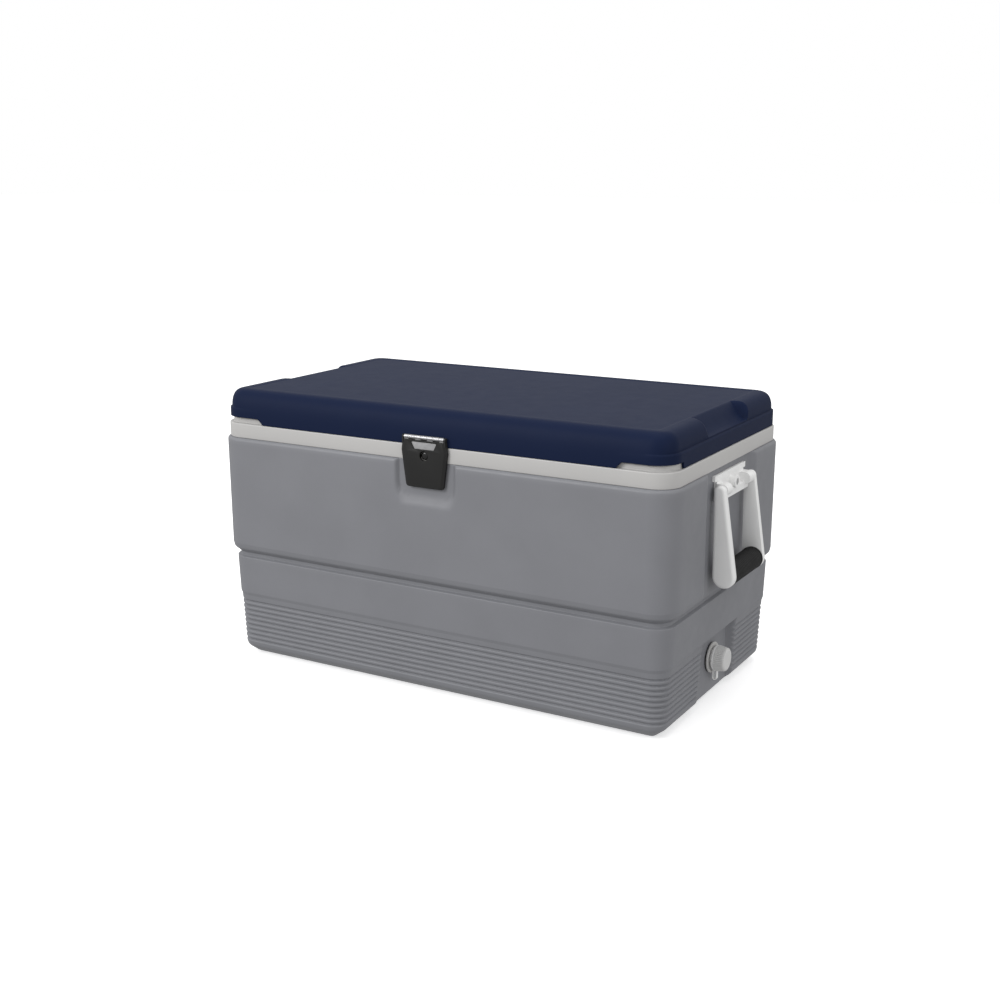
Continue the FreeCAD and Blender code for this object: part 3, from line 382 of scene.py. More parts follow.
def material(name, color, roughness, grain=0.0, grain_size=0.0012, mottle=0.04, wear=0.12,
             wear_color=None, painted_hollow_shade=0.0, metallic=0.0, brushed=None, specular=0.5, speck=0.0,
             patchy_gloss=0.04):
    """A moulded or metal surface: slow tone changes, fine grain, rubbed edges, uneven gloss and painted shade
    in its hollows.
    """
    made = bpy.data.materials.new(name)
    made.use_nodes = True
    tree = made.node_tree
    nodes, links = tree.nodes, tree.links
    shader = nodes["Principled BSDF"]
    shader.inputs["Metallic"].default_value = metallic
    shader.inputs["Specular IOR Level"].default_value = specular
    where = nodes.new("ShaderNodeTexCoord").outputs["Object"]

    def noise(size, detail=3.0, stretch=None, roughness=0.5):
        source = where
        if stretch:
            mapping = nodes.new("ShaderNodeMapping")
            mapping.inputs["Scale"].default_value = stretch
            links.new(source, mapping.inputs["Vector"])
            source = mapping.outputs["Vector"]
        texture = nodes.new("ShaderNodeTexNoise")
        texture.inputs["Scale"].default_value = 1.0 / size
        texture.inputs["Detail"].default_value = detail
        texture.inputs["Roughness"].default_value = roughness
        links.new(source, texture.inputs["Vector"])
        return texture.outputs["Fac"]

    def spread(value, low, high, to_low, to_high):
        return map_range(nodes, links, value, low, high, to_low, to_high)

    def mixed(fraction, first, second, mode="MIX"):
        node = nodes.new("ShaderNodeMix")
        node.data_type, node.blend_type = "RGBA", mode
        links.new(fraction, node.inputs["Factor"])
        for socket, value in ((node.inputs[6], first), (node.inputs[7], second)):
            if isinstance(value, bpy.types.NodeSocket):
                links.new(value, socket)
            else:
                socket.default_value = (*value, 1.0)
        return node.outputs[2]

    def product(first, second):
        node = nodes.new("ShaderNodeMath")
        node.operation = "MULTIPLY"
        links.new(first, node.inputs[0])
        if isinstance(second, bpy.types.NodeSocket):
            links.new(second, node.inputs[1])
        else:
            node.inputs[1].default_value = second
        return node.outputs[0]

    darker = tuple(c * (1 - mottle) for c in color)
    lighter = tuple(min(c * (1 + mottle), 1.0) for c in color)
    base = mixed(spread(noise(TONE_PATCH, 4.0), 0.35, 0.65, 0.0, 1.0), darker, lighter)
    if speck:
        fine = spread(noise(grain_size * 1.7, 2.0), 0.45, 0.62, 0.0, speck)
        base = mixed(fine, base, tuple(c * 0.6 for c in color))
    pointiness = nodes.new("ShaderNodeNewGeometry").outputs["Pointiness"]
    if wear:
        edge = spread(pointiness, EDGE_FROM, EDGE_TO, 0.0, wear)
        patchy = product(edge, spread(noise(WEAR_PATCH, 5.0), 0.35, 0.6, 0.35, 1.0))
        rubbed = wear_color or tuple(c + (1 - c) * 0.35 for c in color)
        base = mixed(patchy, base, rubbed)
    # Painted shade: hollows, where pointiness is low, are darkened towards 0.45 of the colour.
    if painted_hollow_shade:
        hollow = spread(pointiness, HOLLOW_FROM, HOLLOW_TO, 0.0, painted_hollow_shade)
        base = mixed(hollow, base, tuple(c * 0.45 for c in color))
    links.new(base, shader.inputs["Base Color"])
    gloss = noise(GLOSS_PATCH, 5.0, brushed)
    links.new(spread(gloss, 0.3, 0.7, max(roughness - patchy_gloss, 0.02), roughness + patchy_gloss),
              shader.inputs["Roughness"])
    bump = nodes.new("ShaderNodeBump")
    bump.inputs["Distance"].default_value = GRAIN_DEPTH
    bump.inputs["Strength"].default_value = grain
    links.new(noise(grain_size, 2.0, brushed, 0.6), bump.inputs["Height"])
    links.new(bump.outputs["Normal"], shader.inputs["Normal"])
    return made


# The hollow amounts given below paint shade into each material's grooves and hollows.
HULL_GREY = material("moulded_grey", (0.184, 0.187, 0.203), 0.52, grain=0.22, grain_size=0.0011,
                     mottle=0.03, wear=0.10, painted_hollow_shade=0.6)
TUB_WHITE = material("moulded_white", (0.452, 0.445, 0.436), 0.40, grain=0.10, grain_size=0.0016,
                     mottle=0.015, wear=0.2, painted_hollow_shade=0.25)
LID_NAVY = material("moulded_navy", (0.0080, 0.0138, 0.0395), 0.52, grain=0.16, grain_size=0.0011,
                    mottle=0.02, wear=0.10, wear_color=(0.04, 0.05, 0.09), painted_hollow_shade=0.3, specular=0.05,
                    patchy_gloss=0.012)
HANDLE_WHITE = material("handle_white", (0.78, 0.78, 0.775), 0.45, grain=0.12, grain_size=0.0010,
                        mottle=0.02, wear=0.18, painted_hollow_shade=0.3)
CAP_WHITE = material("cap_white", (0.57, 0.57, 0.565), 0.45, grain=0.10, grain_size=0.0010, mottle=0.02,
                     wear=0.18, painted_hollow_shade=0.4)
HINGE_WHITE = material("hinge_white", (0.74, 0.74, 0.73), 0.42, grain=0.12, grain_size=0.0010, mottle=0.02,
                       wear=0.2, painted_hollow_shade=0.3)
LATCH_BLACK = material("latch_black", (0.0100, 0.0098, 0.0096), 0.50, grain=0.22, grain_size=0.0009,
                       mottle=0.06, wear=0.10, wear_color=(0.07, 0.07, 0.07), specular=0.3)
STUD_BLACK = material("stud_black", (0.004, 0.004, 0.004), 0.24, grain=0.03, mottle=0.05, wear=0.05,
                      wear_color=(0.03, 0.03, 0.03), patchy_gloss=0.03)
GRIP_BLACK = material("grip_black", (0.0034, 0.0034, 0.0036), 0.66, grain=0.55, grain_size=0.0009,
                      mottle=0.10, wear=0.06, wear_color=(0.05, 0.05, 0.05), painted_hollow_shade=0.3, speck=0.25,
                      specular=0.3)
STEEL = material("brushed_steel", (0.36, 0.36, 0.365), 0.45, grain=0.20, grain_size=0.0006, mottle=0.05,
                 wear=0.25, wear_color=(0.85, 0.85, 0.85), metallic=1.0, brushed=(0.08, 1.0, 1.0))
FOAM = material("urethane_foam", (0.70, 0.55, 0.28), 0.9, grain=0.9, grain_size=0.0009, mottle=0.15,
                wear=0.0, speck=0.4)
RUBBER = material("seal_rubber", (0.014, 0.014, 0.015), 0.7, grain=0.35, grain_size=0.0008, mottle=0.10,
                  wear=0.1, wear_color=(0.06, 0.06, 0.06))


def finished(piece, look, body, slot, *nodes):
    """Give a piece its material, its body and the CAD nodes it stands for. The slot is not used."""
    piece.data.materials.clear()
    piece.data.materials.append(look)
    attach(piece, body)
    if nodes:
        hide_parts(*nodes)
    return piece


# ------------------------------------------------------------------ hull

# An inset is how far a level stands in from the hull's widest level.
BASE_INSET, BASE_CURVE, BASE_RISE = 14.9, 18.0, 13.5
RIB_TOP, RIB_TOP_INSET = 96.0, 10.4
RIB_FIRST, RIB_PITCH, RIB_COUNT = 24.0, 7.775, 9
RIB_GROOVE_HALF, RIB_GROOVE_FLOOR_HALF, RIB_GROOVE_DEPTH = 2.3, 0.45, 2.5
BAND_LOW, BAND_LOW_INSET, BAND_HIGH, BAND_HIGH_INSET = 101, 8.6, 157, 6.6
WAIST_INSET, WAIST_LOW, WAIST_HIGH = 11.2, 159.2, 164.0
BELLY_LOW, BELLY_LOW_INSET, BELLY_HIGH, BELLY_HIGH_INSET = 171.5, 2.4, 179, 0.7
SIDE_TOP, TOP_ROUND, TOP_SEAT = 330, 5.0, 12
LATCH_RECESS_HALF, LATCH_RECESS_LOW, LATCH_RECESS_ROUND = 44.5, 287.0, 16.0
LATCH_RECESS_DEPTH, LATCH_RECESS_SLOPE, LATCH_RECESS_BLEND = 5.0, 1.1, 2.6
DISH_HALF, DISH_LOW, DISH_SLOPE, DISH_LOW_SLOPE = 77.0, 164.5, 0.57, 4
POCKET_HALF, POCKET_TOP, POCKET_SLOPE, POCKET_TOP_SLOPE, POCKET_SPLAY = 57.5, 95.0, 2, 3, 0.05


def rib_line():
    """The ribbed band, from the lowest groove to the highest, as (inset, height, radius)."""
    line = []
    for k in range(RIB_COUNT):
        z = RIB_FIRST + RIB_PITCH * k
        inset = BASE_INSET + (RIB_TOP_INSET - BASE_INSET) * z / RIB_TOP
        floor = inset + RIB_GROOVE_DEPTH
        line += [(inset, z - RIB_GROOVE_HALF, 1.8), (floor, z - RIB_GROOVE_FLOOR_HALF, 0.3),
                 (floor, z + RIB_GROOVE_FLOOR_HALF, 0.3), (inset, z + RIB_GROOVE_HALF, 1.8)]
    return line


def rise(side, end, blend):
    """How far a recess's wall has risen from its floor, from the rise of its side and of its end."""
    return soft_max(soft_max(side, end, blend), 0.0, 2.0)


def hull_recess(point, thickness):
    """Push a point of the hull in to the latch recess, the handle recesses and the drain pocket."""
    x, y, z = point
    if y < -HALF_WIDTH / 2:
        out = outside(abs(x) - LATCH_RECESS_HALF, LATCH_RECESS_LOW - z, LATCH_RECESS_ROUND)
        floor = HALF_WIDTH - LATCH_RECESS_DEPTH - thickness
        y = -soft_min(-y, floor + out * LATCH_RECESS_SLOPE, LATCH_RECESS_BLEND)
    if abs(x) > HALF_LENGTH * 0.8:
        out = rise((abs(y) - DISH_HALF) * DISH_SLOPE, (DISH_LOW - z) * DISH_LOW_SLOPE, 2.0)
        reach = soft_min(abs(x), DISH_FLOOR - thickness + out, 1.6)
        if x > 0:
            half = POCKET_HALF + (POCKET_TOP - z) * POCKET_SPLAY
            out = rise((abs(y) - half) * POCKET_SLOPE, (z - POCKET_TOP) * POCKET_TOP_SLOPE, 3.0)
            reach = soft_min(reach, POCKET_FLOOR - thickness + out, 1.2)
        x = math.copysign(reach, x)
    return x, y, z


def hull_step(spot):
    """The hull's levels are closest at the latch recess's lower wall, and close over the waist."""
    if LATCH_RECESS_LOW - 9 < spot.y < LATCH_RECESS_LOW + 9:
        return 1.3
    return 3.0 if WAIST_HIGH < spot.y < BELLY_HIGH + 3 else 7.0


def make_hull():
    """The grey shell. Its profile runs from the underside up the outside, and back down the inside."""
    outline = [(CORNER + 4, 0, 0), (BASE_INSET + BASE_CURVE, 0, 12), (BASE_INSET + 0.6, BASE_RISE, 10),
               *rib_line(), (RIB_TOP_INSET, RIB_TOP, 1.2), (BAND_LOW_INSET, BAND_LOW, 1.6),
               (BAND_HIGH_INSET, BAND_HIGH, 1.6), (WAIST_INSET, WAIST_LOW, 0.8),
               (WAIST_INSET, WAIST_HIGH, 1.2), (BELLY_LOW_INSET, BELLY_LOW, 6.0),
               (BELLY_HIGH_INSET, BELLY_HIGH, 4.0), (0, SIDE_TOP, 0), (0, HULL_TOP, TOP_ROUND),
               (TOP_SEAT, HULL_TOP, 0.8)]
    outer = divided(rounded(outline), hull_step)
    inner = rounded([(TOP_SEAT, HULL_TOP - WALL, 0), (WALL, HULL_TOP - WALL, 0), (WALL + 0.9, BELLY_HIGH, 0),
                     (WAIST_INSET + 1.4, WAIST_HIGH + 4, 0), (WAIST_INSET + 1.4, BAND_HIGH - 6, 0),
                     (RIB_TOP_INSET + WALL, RIB_TOP - 4, 0), (BASE_INSET + WALL, RIB_FIRST - 6, 0),
                     (BASE_INSET + BASE_CURVE - 0.5, WALL, 0), (CORNER + 4, WALL, 0)])
    inner = divided(inner, lambda p: 8.0)
    sections = [section(p.y, p.x) for p in outer + inner]
    front = marks((40, 5), (56, 1.3), (KEEP, 12), (HALF_LENGTH - CORNER, 25))
    end = marks((52, 6), (74, 1.3), (96, 2), (HALF_WIDTH - CORNER, 12))
    back = marks((HALF_LENGTH - CORNER, 25))
    grid = columns(front, end, back)
    last_outer = len(outer)
    hull = swept("hull_moulding", sections, grid,
                 lambda p, row: hull_recess(p, 0.0 if row < last_outer else WALL))
    return finished(hull, HULL_GREY, "chest", "hull_grey", "outer_hull")


# ------------------------------------------------------------------ tub

LIP_INSET = 10.2
MOUTH_INSET, MOUTH_RADIUS = 38.0, 24.0
FLOOR_INSET, FLOOR_Z = 52.0, 40.0


def tub_section(z, inset):
    """The tub's plan corners blend from the rim's to the mouth's."""
    rim_radius = max(CORNER - inset, TIGHTEST)
    share = ease((inset - LIP_INSET - 8) / 18)
    return section(z, inset, radius=rim_radius + (MOUTH_RADIUS - rim_radius) * share)


def make_tub():
    """The liner: floor, drafted walls, a lip with a shallow groove, and the rim that the lid sits on."""
    centre_inset, rim_low, groove = FLOOR_INSET + 16, HULL_TOP + 0.1, LIP_TOP - 0.9
    floor = [(centre_inset, FLOOR_Z, 0), (FLOOR_INSET, FLOOR_Z, 9)]
    lip = [(MOUTH_INSET + 0.3, LIP_TOP - 6, 0), (MOUTH_INSET - 0.8, LIP_TOP - 0.2, 2.6),
           (MOUTH_INSET - 9, LIP_TOP, 1.5), (MOUTH_INSET - 11, groove, 1.2), (MOUTH_INSET - 14, groove, 1.2),
           (MOUTH_INSET - 16, LIP_TOP, 1.5), (LIP_INSET, LIP_TOP, 1.8), (LIP_INSET, RIM_EDGE, 1.0)]
    rim = [(RIM_INSET, RIM_EDGE, 1.7), (RIM_INSET + 0.1, rim_low, 0.9), (RIM_INSET + WALL, rim_low, 0.4)]
    hidden = [(RIM_INSET + WALL, RIM_EDGE - WALL, 0), (MOUTH_INSET - WALL, RIM_EDGE - WALL, 0),
              (FLOOR_INSET - WALL, FLOOR_Z - WALL, 9), (centre_inset, FLOOR_Z - WALL, 0)]
    profile = divided(rounded(floor + lip + rim + hidden, steps=5), lambda p: 14.0)
    front = marks((KEEP, 21), (HALF_LENGTH - CORNER, 25))
    grid = columns(front, marks((KEEP, 21), (HALF_WIDTH - CORNER, 15)), front)
    tub = swept("tub_moulding", [tub_section(p.y, p.x) for p in profile], grid, lambda p, row: p)
    return finished(tub, TUB_WHITE, "chest", "tub_white", "inner_tub")


# ------------------------------------------------------------------ lid

SKIRT_LOW, SKIRT_TOP, LID_TOP = LID_LOW.z, 384.6, LID_HIGH.z
CREASE_INSET, SHOULDER_LOW, SHOULDER_POWER = 28.0, 365.0, 2.6
FLANGE_INSET = HALF_LENGTH - LID_HIGH.x
END_INSET, END_CREASE_INSET, END_POWER = 9.2, 31.4, 2.85
SHOULDER_LEVELS = 16
TOP_SINK = 0.7
SCOOP_FROM, SCOOP_HALF, SCOOP_SIDE_SLOPE = 310.0, 72.0, 2.6
REVEAL_START, REVEAL_RUN, REVEAL_RISE = 283.0, 8.0, 8.4
REVEAL_BACK, REVEAL_BACK_RUN = -159.0, 1.5
SCOOP_LINE = [(328.6, LID_TOP), (331, 410.6), (335, 407.4), (339, 402), (344, 394.6), (350, 389.2),
              (357, 386.6), (372, 385.8)]


def crowned(z, low, inner, outer, power):
    """Inset of a round shoulder that stands upright at low and is flat at the lid's top."""
    share = min(max((z - low) / (LID_TOP - low), 0.0), 1.0)
    return inner - (inner - outer) * (1 - share ** power) ** (1 / power)


def end_inset(z):
    """The ends have an upright flange below their shoulder."""
    if z <= SKIRT_TOP:
        return FLANGE_INSET
    return crowned(z, SKIRT_TOP, END_CREASE_INSET, END_INSET, END_POWER)


def skirt_low_at(x, y):
    """The skirt's lower edge, which is raised round the two front corners."""
    if y > REVEAL_BACK:
        return SKIRT_LOW + REVEAL_RISE * ease((REVEAL_BACK + REVEAL_BACK_RUN - y) / REVEAL_BACK_RUN)
    return SKIRT_LOW + REVEAL_RISE * min(max((abs(x) - REVEAL_START) / REVEAL_RUN, 0.0), 1.0)


def lid_shape(point, thickness):
    """Raise the skirt's lower edge at the front corners, and sink the finger scoops into the ends."""
    x, y, z = point
    if z < SKIRT_TOP:
        low = skirt_low_at(x, y)
        z = low + (z - SKIRT_LOW) * (SKIRT_TOP - low) / (SKIRT_TOP - SKIRT_LOW)
    elif abs(x) > SCOOP_FROM:
        side = soft_max(abs(y) - SCOOP_HALF, 0.0, 1.5) * SCOOP_SIDE_SLOPE
        z = soft_min(z, along(SCOOP_LINE, abs(x) + thickness) - thickness + side, 1.0)
    return x, y, z


def side_inset(z):
    """The long sides have one shoulder from their skirt to the top."""
    return crowned(z, SHOULDER_LOW, CREASE_INSET, RIM_INSET, SHOULDER_POWER)


def shoulder_heights():
    """Heights down the lid's shoulder, which are closest together at its top and at its foot."""
    turns = [math.pi * k / (SHOULDER_LEVELS + 1) for k in range(1, SHOULDER_LEVELS + 1)]
    shares = [(0.5 - 0.5 * math.cos(turn)) ** 1.25 for turn in turns]
    return [LID_TOP + (SKIRT_TOP - LID_TOP) * share for share in shares]


def make_lid():
    """The navy shell: a top sunk a little inside its crease, round shoulders and a skirt."""
    sunk, inmost = LID_TOP - TOP_SINK, 47
    crown = [(inmost, sunk), (CREASE_INSET + 6.5, sunk), (CREASE_INSET + 5.2, LID_TOP - 0.5),
             (CREASE_INSET + 3.8, LID_TOP - 0.15), (CREASE_INSET + 2.4, LID_TOP), (CREASE_INSET + 1, LID_TOP)]
    crown = divided([Vector(c) for c in crown], lambda p: 1.5)
    sections = [section(c.y, c.x, c.x + END_CREASE_INSET - CREASE_INSET) for c in crown]
    sections += [section(z, side_inset(z), end_inset(z)) for z in shoulder_heights()]
    skirt = rounded([(0, SKIRT_TOP, 0), (0, SKIRT_LOW, 0.8), (WALL, SKIRT_LOW, 0.8), (WALL, 380, 0)], steps=3)
    for back, z in divided(skirt, lambda p: 3.0):
        sections.append(section(z, side_inset(z) + back, FLANGE_INSET + back))
    outer_rows = len(sections)
    sections += [section(398, 14.5, 33), section(LID_TOP - WALL, 34, 45), section(LID_TOP - WALL, inmost, 50)]
    front = marks((KEEP, 15), (278, 17), (294, 1.6), (HALF_LENGTH - CORNER, 11))
    end = marks((62, 6), (90, 1.2), (KEEP, 5), (154, 12), (163, 0.8), (HALF_WIDTH - CORNER, 2))
    back = marks((HALF_LENGTH - CORNER, 22))
    lid = swept("lid_moulding", sections, columns(front, end, back),
                lambda p, row: lid_shape(p, 0.0 if row < outer_rows else WALL))
    return finished(lid, LID_NAVY, "lid", "lid_navy", "lid_shell")


def make_lid_panel():
    """The lid's white lining, with a plug that drops into the tub's mouth and is sunk in its middle."""
    low, high = node_box("lid_inner_panel")
    plug, edge, sunk = MOUTH_INSET + 4, RIM_INSET + WALL + 1, low.z + 1.6
    outline = [(plug + 34, sunk, 0), (plug + 17, sunk, 3), (plug + 13, low.z, 3), (plug, low.z, 3.5),
               (plug - 0.3, high.z - WALL, 1.0), (edge, high.z - WALL, 0.6), (edge, high.z, 0.6),
               (plug + 34, high.z, 0)]
    profile = divided(rounded(outline, steps=5), lambda p: 9.0)
    front = marks((HALF_LENGTH - CORNER, 25))
    grid = columns(front, marks((HALF_WIDTH - CORNER, 20)), front)

    def level(p):
        rim_radius = max(CORNER - p.x, TIGHTEST)
        share = ease((p.x - 20) / 14)
        return section(p.y, p.x, radius=rim_radius + (MOUTH_RADIUS - 3 - rim_radius) * share)

    panel = swept("lid_liner", [level(p) for p in profile], grid, lambda p, row: p)
    return finished(panel, TUB_WHITE, "lid", "tub_white", "lid_inner_panel")


# ------------------------------------------------------------------ latch

STUD_Z = 349.0
LATCH_LOW, LATCH_WIDE_Z, LATCH_TOP = 304.6, 355.0, 370.6
LATCH_LOW_HALF, LATCH_WIDE_HALF, LATCH_TOP_HALF = 29.9, 36.8, 34.8
WINDOW_LOW, WINDOW_HIGH, WINDOW_LOW_HALF, WINDOW_HIGH_HALF = 358.2, 367.8, 15.6, 20.6
CHANNEL_HALF, CHANNEL_FLOOR = 7.5, 1.7
LEAF_POCKET_HALF, LEAF_POCKET_LOW, LEAF_POCKET_FLOOR = 32, 355.5, 1.5
HORN_INNER = 32.7
BARREL_LOW, BARREL_HIGH = node_box("latch_hinge_pin")
LATCH_AXIS = (BARREL_LOW + BARREL_HIGH) / 2


def facing_front(u, v, depth):
    """Outlines on the chest's front: u is x, v is z and depth is y."""
    return u, depth, v


def latch_outline(side, foot):
    """The latch's front outline, drawn in by side at its sides and by foot at its lower edge."""
    half = [(LATCH_LOW_HALF - side, LATCH_LOW + foot, 4.5), (LATCH_WIDE_HALF - side, LATCH_WIDE_Z, 5.0),
            (LATCH_TOP_HALF - side, LATCH_TOP - foot * 0.3, 1.2)]
    mirrored = [(-u, v, r) for u, v, r in reversed(half)]
    return rounded(half + mirrored, steps=8, closed=True)


def window_outline(spread):
    """The latch's window, grown by spread."""
    low, high = WINDOW_LOW - spread, WINDOW_HIGH + spread
    low_half, high_half = WINDOW_LOW_HALF + spread, WINDOW_HIGH_HALF + spread
    return rounded([(-low_half, low, 1.2), (low_half, low, 1.2), (high_half, high, 1.2),
                    (-high_half, high, 1.2)], closed=True)


def rectangle(half, low, high):
    return [(-half, low), (half, low), (half, high), (-half, high)]


def make_horn(side):
    """A lug at one of the latch's upper corners, which closes the end of its hinge barrel."""
    low, high = sorted((side * HORN_INNER, side * LATCH_TOP_HALF))
    foot, back = LATCH_TOP - 6, PLATE_HIGH.y - 1.2
    profile = rounded([(PLATE_LOW.y + 0.1, foot, 0.5), (back, foot, 0.5), (back, LATCH_TOP + 1, 1),
                       (LATCH_AXIS.y + 3.1, LATCH_AXIS.z + 1, 2), (LATCH_AXIS.y + 1, LATCH_AXIS.z + 3.1, 2),
                       (PLATE_LOW.y + 0.4, LATCH_AXIS.z + 1.5, 2)], closed=True)
    return soften(prism("horn", profile, lambda u, v, depth: (depth, u, v), low, high), 0.4, 2)


def make_latch():
    """A thick black plate with chamfered sides, a round hole and a window over its steel leaf."""
    front, back = PLATE_LOW.y, PLATE_HIGH.y - 1.0
    levels = [(back, 0.0, 0.0), (front + 2.4, 0.0, 0.0), (front + 1.9, 0.15, 0.05),
              (front + 0.75, 2.4, 0.25), (front + 0.3, 3.3, 0.5), (front + 0.08, 4.0, 0.9), (front, 4.9, 1.5)]
    rings = [[(u, y, v) for u, v in latch_outline(side, foot)] for y, side, foot in levels]
    plate = stacked("latch_moulding", rings, smooth=False)
    hole = [(-10, 7.3), (0.0, 7.1), (0.35, 6.7), (0.9, 6.5), (10, 6.5)]
    carve(plate, turned("hole", hole, along_y(0, STUD_Z, front), 48))
    window_rings = [[(u, front + depth, v) for u, v in window_outline(spread)]
                    for depth, spread in ((-5, 0.7), (0, 0.6), (0.5, 0.1), (8, 0.0))]
    carve(plate, stacked("window", window_rings, smooth=False))
    channel = rectangle(CHANNEL_HALF, LATCH_LOW - 5, STUD_Z)
    carve(plate, prism("channel", channel, facing_front, front + CHANNEL_FLOOR, back + 5))
    pocket = rectangle(LEAF_POCKET_HALF, LEAF_POCKET_LOW, LATCH_TOP + 5)
    carve(plate, prism("leaf_pocket", pocket, facing_front, front + LEAF_POCKET_FLOOR, back + 5))
    crisp(plate, 40)
    latch = join("latch_cover", [plate, make_horn(-1), make_horn(1)])
    return finished(latch, LATCH_BLACK, "latch", "latch_black", "latch_plate")


def make_stud():
    """The domed stud in the latch's hole, with its collar on the rim."""
    face = HALF_WIDTH - RIM_INSET
    collar = [(0, 0), (0, 6.2), (-0.6, 6.2), (-0.9, 5.6)]
    neck = [(-0.9, 3.4), (-2.0, 3.4), (-2.2, 4.6), (-2.6, 5.1)]
    dome = [(-3.1, 5.2), (-3.5, 4.9), (-3.9, 4.1), (-4.2, 2.9), (-4.38, 1.5), (-4.4, 0)]
    stud = turned("latch_stud", collar + neck + dome, along_y(0, STUD_Z, -face), 48)
    return finished(stud, STUD_BLACK, "chest", "latch_black", "keeper_stud")


# ------------------------------------------------------------------ handles

PIVOT_LOW, PIVOT_HIGH = node_box("handle_pivot_pins_right")
PIVOT_X, PIVOT_Z = (PIVOT_LOW.x + PIVOT_HIGH.x) / 2, (PIVOT_LOW.z + PIVOT_HIGH.z) / 2
GRIP_X, GRIP_Z = (GRIP_LOW.x + GRIP_HIGH.x) / 2, (GRIP_LOW.z + GRIP_HIGH.z) / 2
ARM_LOW, ARM_HIGH = node_box("handle_arm_right_rear")
ARM_INNER, ARM_OUTER = ARM_LOW.y, ARM_HIGH.y
ARM_TOP_RADIUS, ARM_LOW_RADIUS = 7.6, 15.8
GRIP_RINGS = 21
GRIP_BORE = 5.0


def arm_outline(shrink, steps=26):
    """A blade between two circles, joined by their outer tangents, seen from the side."""
    top, low = Vector((PIVOT_X, PIVOT_Z)), Vector((GRIP_X, GRIP_Z))
    run = top - low
    lean = math.atan2(run.y, run.x)
    half = math.acos((ARM_LOW_RADIUS - ARM_TOP_RADIUS) / run.length)
    points = []
    for centre, radius, start, sweep in ((top, ARM_TOP_RADIUS, lean - half, 2 * half),
                                         (low, ARM_LOW_RADIUS, lean + half, 2 * (math.pi - half))):
        for k in range(steps + 1):
            angle = start + sweep * k / steps
            points.append(centre + Vector((math.cos(angle), math.sin(angle))) * (radius - shrink))
    return points


def make_arm(word, side, end_word, end):
    """One blade, with a soft outer edge and a crisper inner one."""
    inner_edge = [(ARM_INNER, 0.8), (ARM_INNER + 0.25, 0.3), (ARM_INNER + 0.8, 0.0)]
    outer_edge = [(ARM_OUTER - 3.4, 0.0), (ARM_OUTER - 2.3, 0.25), (ARM_OUTER - 1.3, 0.9),
                  (ARM_OUTER - 0.6, 1.9), (ARM_OUTER - 0.15, 3.1), (ARM_OUTER, 4.4)]
    rings = [[(side * u, end * y, v) for u, v in arm_outline(shrink)]
             for y, shrink in inner_edge + outer_edge]
    arm = stacked("bail_arm_%s_%s" % (word, end_word), rings)
    return finished(arm, HANDLE_WHITE, "handle_" + word, "handle_grey",
                    "handle_arm_%s_%s" % (word, end_word))


def make_grip(word, side):
    """A soft sleeve with a flange at each end and shallow rings between them."""
    radius, half = (GRIP_HIGH.z - GRIP_LOW.z) / 2, ARM_INNER
    outline = [(-half, GRIP_BORE), (-half, radius - 0.8), (-half + 0.8, radius), (-half + 3.2, radius),
               (-half + 3.9, radius - 0.9)]
    pitch = 2 * (half - 5) / GRIP_RINGS
    for k in range(GRIP_RINGS):
        start = -half + 5 + pitch * k
        outline += [(start, radius - 0.95), (start + pitch * 0.18, radius - 0.45),
                    (start + pitch * 0.5, radius - 0.3), (start + pitch * 0.82, radius - 0.45)]
    outline += [(half - 5, radius - 0.95), (half - 3.9, radius - 0.9), (half - 3.2, radius),
                (half - 0.8, radius), (half, radius - 0.8), (half, GRIP_BORE), (-half, GRIP_BORE)]
    grip = turned("bail_grip_" + word, outline, along_y(side * GRIP_X, GRIP_Z), 56)
    return finished(grip, GRIP_BLACK, "handle_" + word, "grip_black", "grip_sleeve_" + word)


def make_bracket(word):
    """The handle's bracket: its CAD shape with soft moulded edges."""
    bracket = copied("handle_bracket_" + word, "bail_bracket_" + word)
    soften(bracket, 0.9, 3, 35)
    return finished(bracket, HANDLE_WHITE, "chest", "handle_grey", "handle_bracket_" + word)


# ------------------------------------------------------------------ drain

CAP_RIDGES, CAP_RIDGE_DEPTH = 40, 0.95
CAP_BORE, CAP_COLLAR = 11.4, 15.0


def make_cap():
    """A knurled screw cap with a round shoulder and a dished face."""
    start, end = CAP_LOW.x, CAP_HIGH.x
    outer = (CAP_HIGH.z - CAP_LOW.z) / 2
    bore = [(end - 3.0, 0.0), (end - 3.0, CAP_BORE), (start, CAP_BORE)]
    collar = [(start, CAP_COLLAR), (start + 3.8, CAP_COLLAR)]
    skirt = [(start + 4.2, outer - 0.9), (start + 4.9, outer - 0.1), (start + 5.4, outer),
             (end - 3.0, outer - 2.0)]
    face = [(end - 1.6, outer - 2.5), (end - 0.7, outer - 3.4), (end - 0.2, outer - 4.6), (end, outer - 6.0),
            (end - 0.2, outer - 8.0), (end - 0.4, 0.0)]
    fine = divided([Vector(p) for p in bore + collar + skirt + face], lambda p: 1.6)

    def ridged(a, r, angle):
        if start + 5.2 < a < end - 0.5 and r > outer - 4.0:
            return r - CAP_RIDGE_DEPTH * (0.5 - 0.5 * math.cos(CAP_RIDGES * angle)) ** 2
        return r

    cap = turned("drain_cap_knurled", fine, along_x(0, DRAIN_Z), CAP_RIDGES * 8, ridged)
    return finished(cap, CAP_WHITE, "drain_cap", "handle_grey", "drain_cap")


